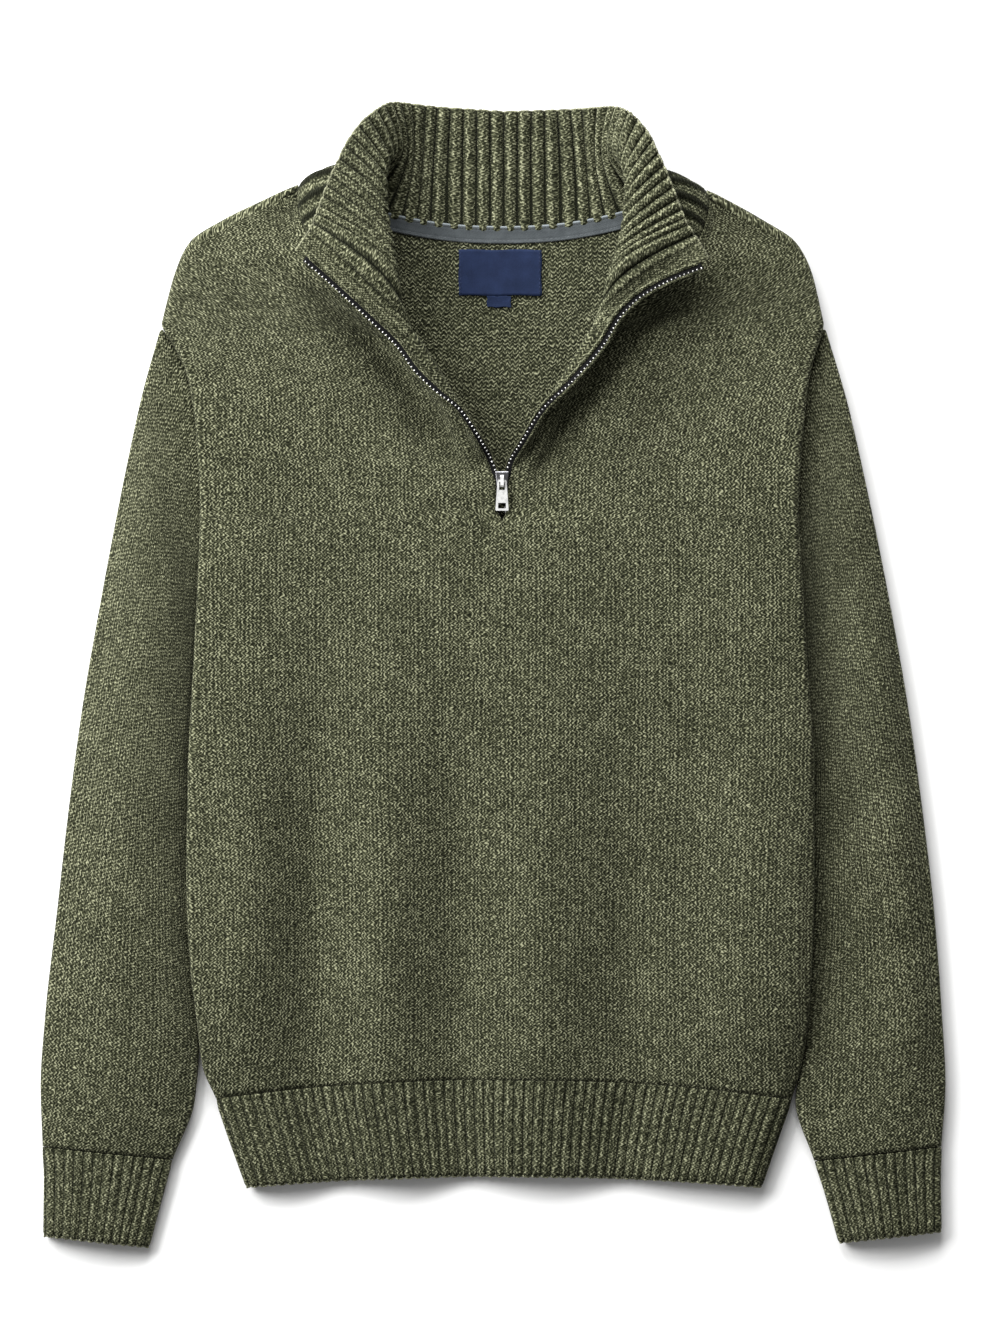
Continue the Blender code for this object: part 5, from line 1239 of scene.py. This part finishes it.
for half, sign in (("left", 1), ("right", -1)):
    grid, line = tape_grid(half)
    down = lengths(line)
    places = knit_places(lengths(grid, axis=1), down[:, None])
    tape = sewn("zip_band_" + half, [(grid, places, half == "right")], [tape_look],
                thickness=TAPE_THICK, lip=1.0)
    worn_on_sweater(tape, "zip_tape_" + half)

    side_way, ways = unit(grid[:, -1] - grid[:, 0]), np.gradient(line, axis=0)
    normal = unit(np.cross(side_way, ways)) * sign
    at = np.arange(TOOTH_PITCH * (0.75 - 0.25 * sign), down[-1] - 1.0, TOOTH_PITCH)
    row_of("zip_teeth_" + half, at, down, line + normal * TOOTH_UP, ways, normal, tooth, tooth_look)

    mouth = int(np.searchsorted(line[:, 1], SLIDER_MOUTH))
    climb = np.linspace(0.0, 1.0, len(line))[mouth:]
    for name, column, out, sizes in WELTS:
        radius = np.interp(climb, (climb[0], climb[0] + 0.45), sizes)
        path = (grid[:, column] + side_way * out + normal * 0.1)[mouth:]
        worn_on_sweater(roll(name + half, path, radius, welt_knit))

# ------------------------------------------------------------------ slider and pull tab
# Cast slider holding the two tapes together below the opening, with a bridge that carries
# the pull tab. The slider is dark nickel and the tab is bright, worn smooth at its edges.


def cast_metal(name, tint, roughness, metallic):
    """Cast and tumbled metal: slow cloudy unevenness and fine scratches."""
    made, tree, shader = finish_of(name, roughness, metallic=metallic)
    place = object_place(tree)
    cloud = noise_at(tree, place, 420.0, 3.0)
    drawn = wired(tree, "ShaderNodeMapping", place, None, None, (1.0, 0.12, 1.0))
    scratch = noise_at(tree, drawn, 3200.0, 2.0)
    low, high = (tuple(c * share for c in tint) for share in (0.72, 1.0))
    graded(tree, cloud, shader.inputs["Base Color"], (0.3, low), (0.6, high))
    smooth, rough = ((roughness * share,) * 3 for share in (0.7, 1.25))
    graded(tree, scratch, shader.inputs["Roughness"], (0.3, smooth), (0.7, rough))
    bumped(tree, shader, 0.25, 0.0001, scratch)
    return made


dark_nickel = cast_metal("dark nickel", (0.20, 0.20, 0.21), 0.35, 1.0)
bright_nickel = cast_metal("bright nickel", (0.93, 0.93, 0.91), 0.36, 0.55)
for node, look in (("slider", dark_nickel), ("slider_bridge", bright_nickel),
                   ("pull_tab", bright_nickel)):
    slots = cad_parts[node].data.materials
    if not len(slots):
        slots.append(look)
    for i in range(len(slots)):
        slots[i] = look

# ------------------------------------------------------------------ bind-off chains and stitches
# The knit's free edges are bound off in a chain of yarn loops. The neck tape and the labels
# are sewn down with short straight stitches, and a few more close the slit's lower end.
CHAIN_LOOP, LOOP_ROUND, CHAIN_PITCH, CHAIN_OUT, CHAIN_UP = (1.7, 2.9, 1.5), 0.6, 2.6, 0.1, 0.5
STITCH, STITCH_ROUND, STITCH_PITCH, SLIT_PITCH = (0.4, 2.1, 0.35), 0.12, 3.0, 2.4
TAPE_STITCHES = (("tape_stitches_lower", 2), ("tape_stitches_upper", 10))    # and their columns
LABEL_MARGIN, LABEL_STITCH_UP = 1.4, 0.45
SLIT_END = (99.0, 112.0)                     # y of the closed slit's stitches
UPRIGHT = (0.0, 0.0, 1.0)


def dressed_row(name, line, ups, part, look, pitch):
    """A row of one part spaced evenly along a line."""
    line = np.array(line)
    along = lengths(line)
    row_of(name, np.arange(pitch / 2, along[-1], pitch), along, line, np.gradient(line, axis=0),
           np.broadcast_to(ups, line.shape), part, look)


def thread(name, dark, light):
    """Yarn or thread: fibres with a soft marl of light and dark."""
    made, tree, shader = finish_of(name, 0.9, sheen=0.1, specular=0.08)
    marl, fibres = (noise_at(tree, object_place(tree), *size) for size in ((260.0, 3.0), (1400.0, 1.0)))
    graded(tree, marl, shader.inputs["Base Color"], (0.36, dark), (0.64, light))
    bumped(tree, shader, 0.6, 0.0003, fibres)
    return made


loop_part = small_part("chain loop", CHAIN_LOOP, LOOP_ROUND)
stitch_part = small_part("stitch", STITCH, STITCH_ROUND)
yarn = thread("marl yarn", *(tuple(c * share for c in MARL_LIGHT) for share in (0.32, 0.9)))
grey_thread = thread("grey thread", (0.05, 0.055, 0.06), (0.11, 0.12, 0.125))
navy_thread = thread("navy thread", (0.008, 0.012, 0.03), (0.02, 0.03, 0.07))
dark_thread = thread("dark thread", (0.004, 0.004, 0.003), (0.014, 0.015, 0.01))

edge_line = collar_grid[:, -1] + edge_way[:, 0] * CHAIN_OUT + collar_out[:, -1] * CHAIN_UP
dressed_row("collar_chain", edge_line, collar_out[:, -2], loop_part, yarn, CHAIN_PITCH)
for name, rows in (("hem_chain", hem_grid[-3:]), ("cuff_chain_left", cuff_ends["left"]),
                   ("cuff_chain_right", cuff_ends["right"])):
    line = rows[-1] + unit(rows[-1] - rows[0]) * CHAIN_OUT
    dressed_row(name, line, UPRIGHT, loop_part, yarn, CHAIN_PITCH)

for name, column in TAPE_STITCHES:
    line = tape_rows[:, column] + (0.0, 0.0, TRIM_THICK / 2 + 0.1)
    dressed_row(name, line, UPRIGHT, stitch_part, grey_thread, STITCH_PITCH)
left, right, bottom, top = LABEL
label_top = WALL + SEAM + TRIM_THICK + LABEL_STITCH_UP
for side, x in (("left", left + LABEL_MARGIN), ("right", right - LABEL_MARGIN)):
    line = [(x, y, label_top) for y in np.linspace(bottom + 1, top - 1, 12)]
    dressed_row("label_stitches_" + side, line, UPRIGHT, stitch_part, navy_thread, STITCH_PITCH)
slit_top = float(straight_row(104.0, 104.0, "left")[-1][2]) + WALL / 2
line = [(CENTRE, y, slit_top) for y in np.linspace(*SLIT_END, 6)]
dressed_row("slit_stitches", line, UPRIGHT, stitch_part, dark_thread, SLIT_PITCH)
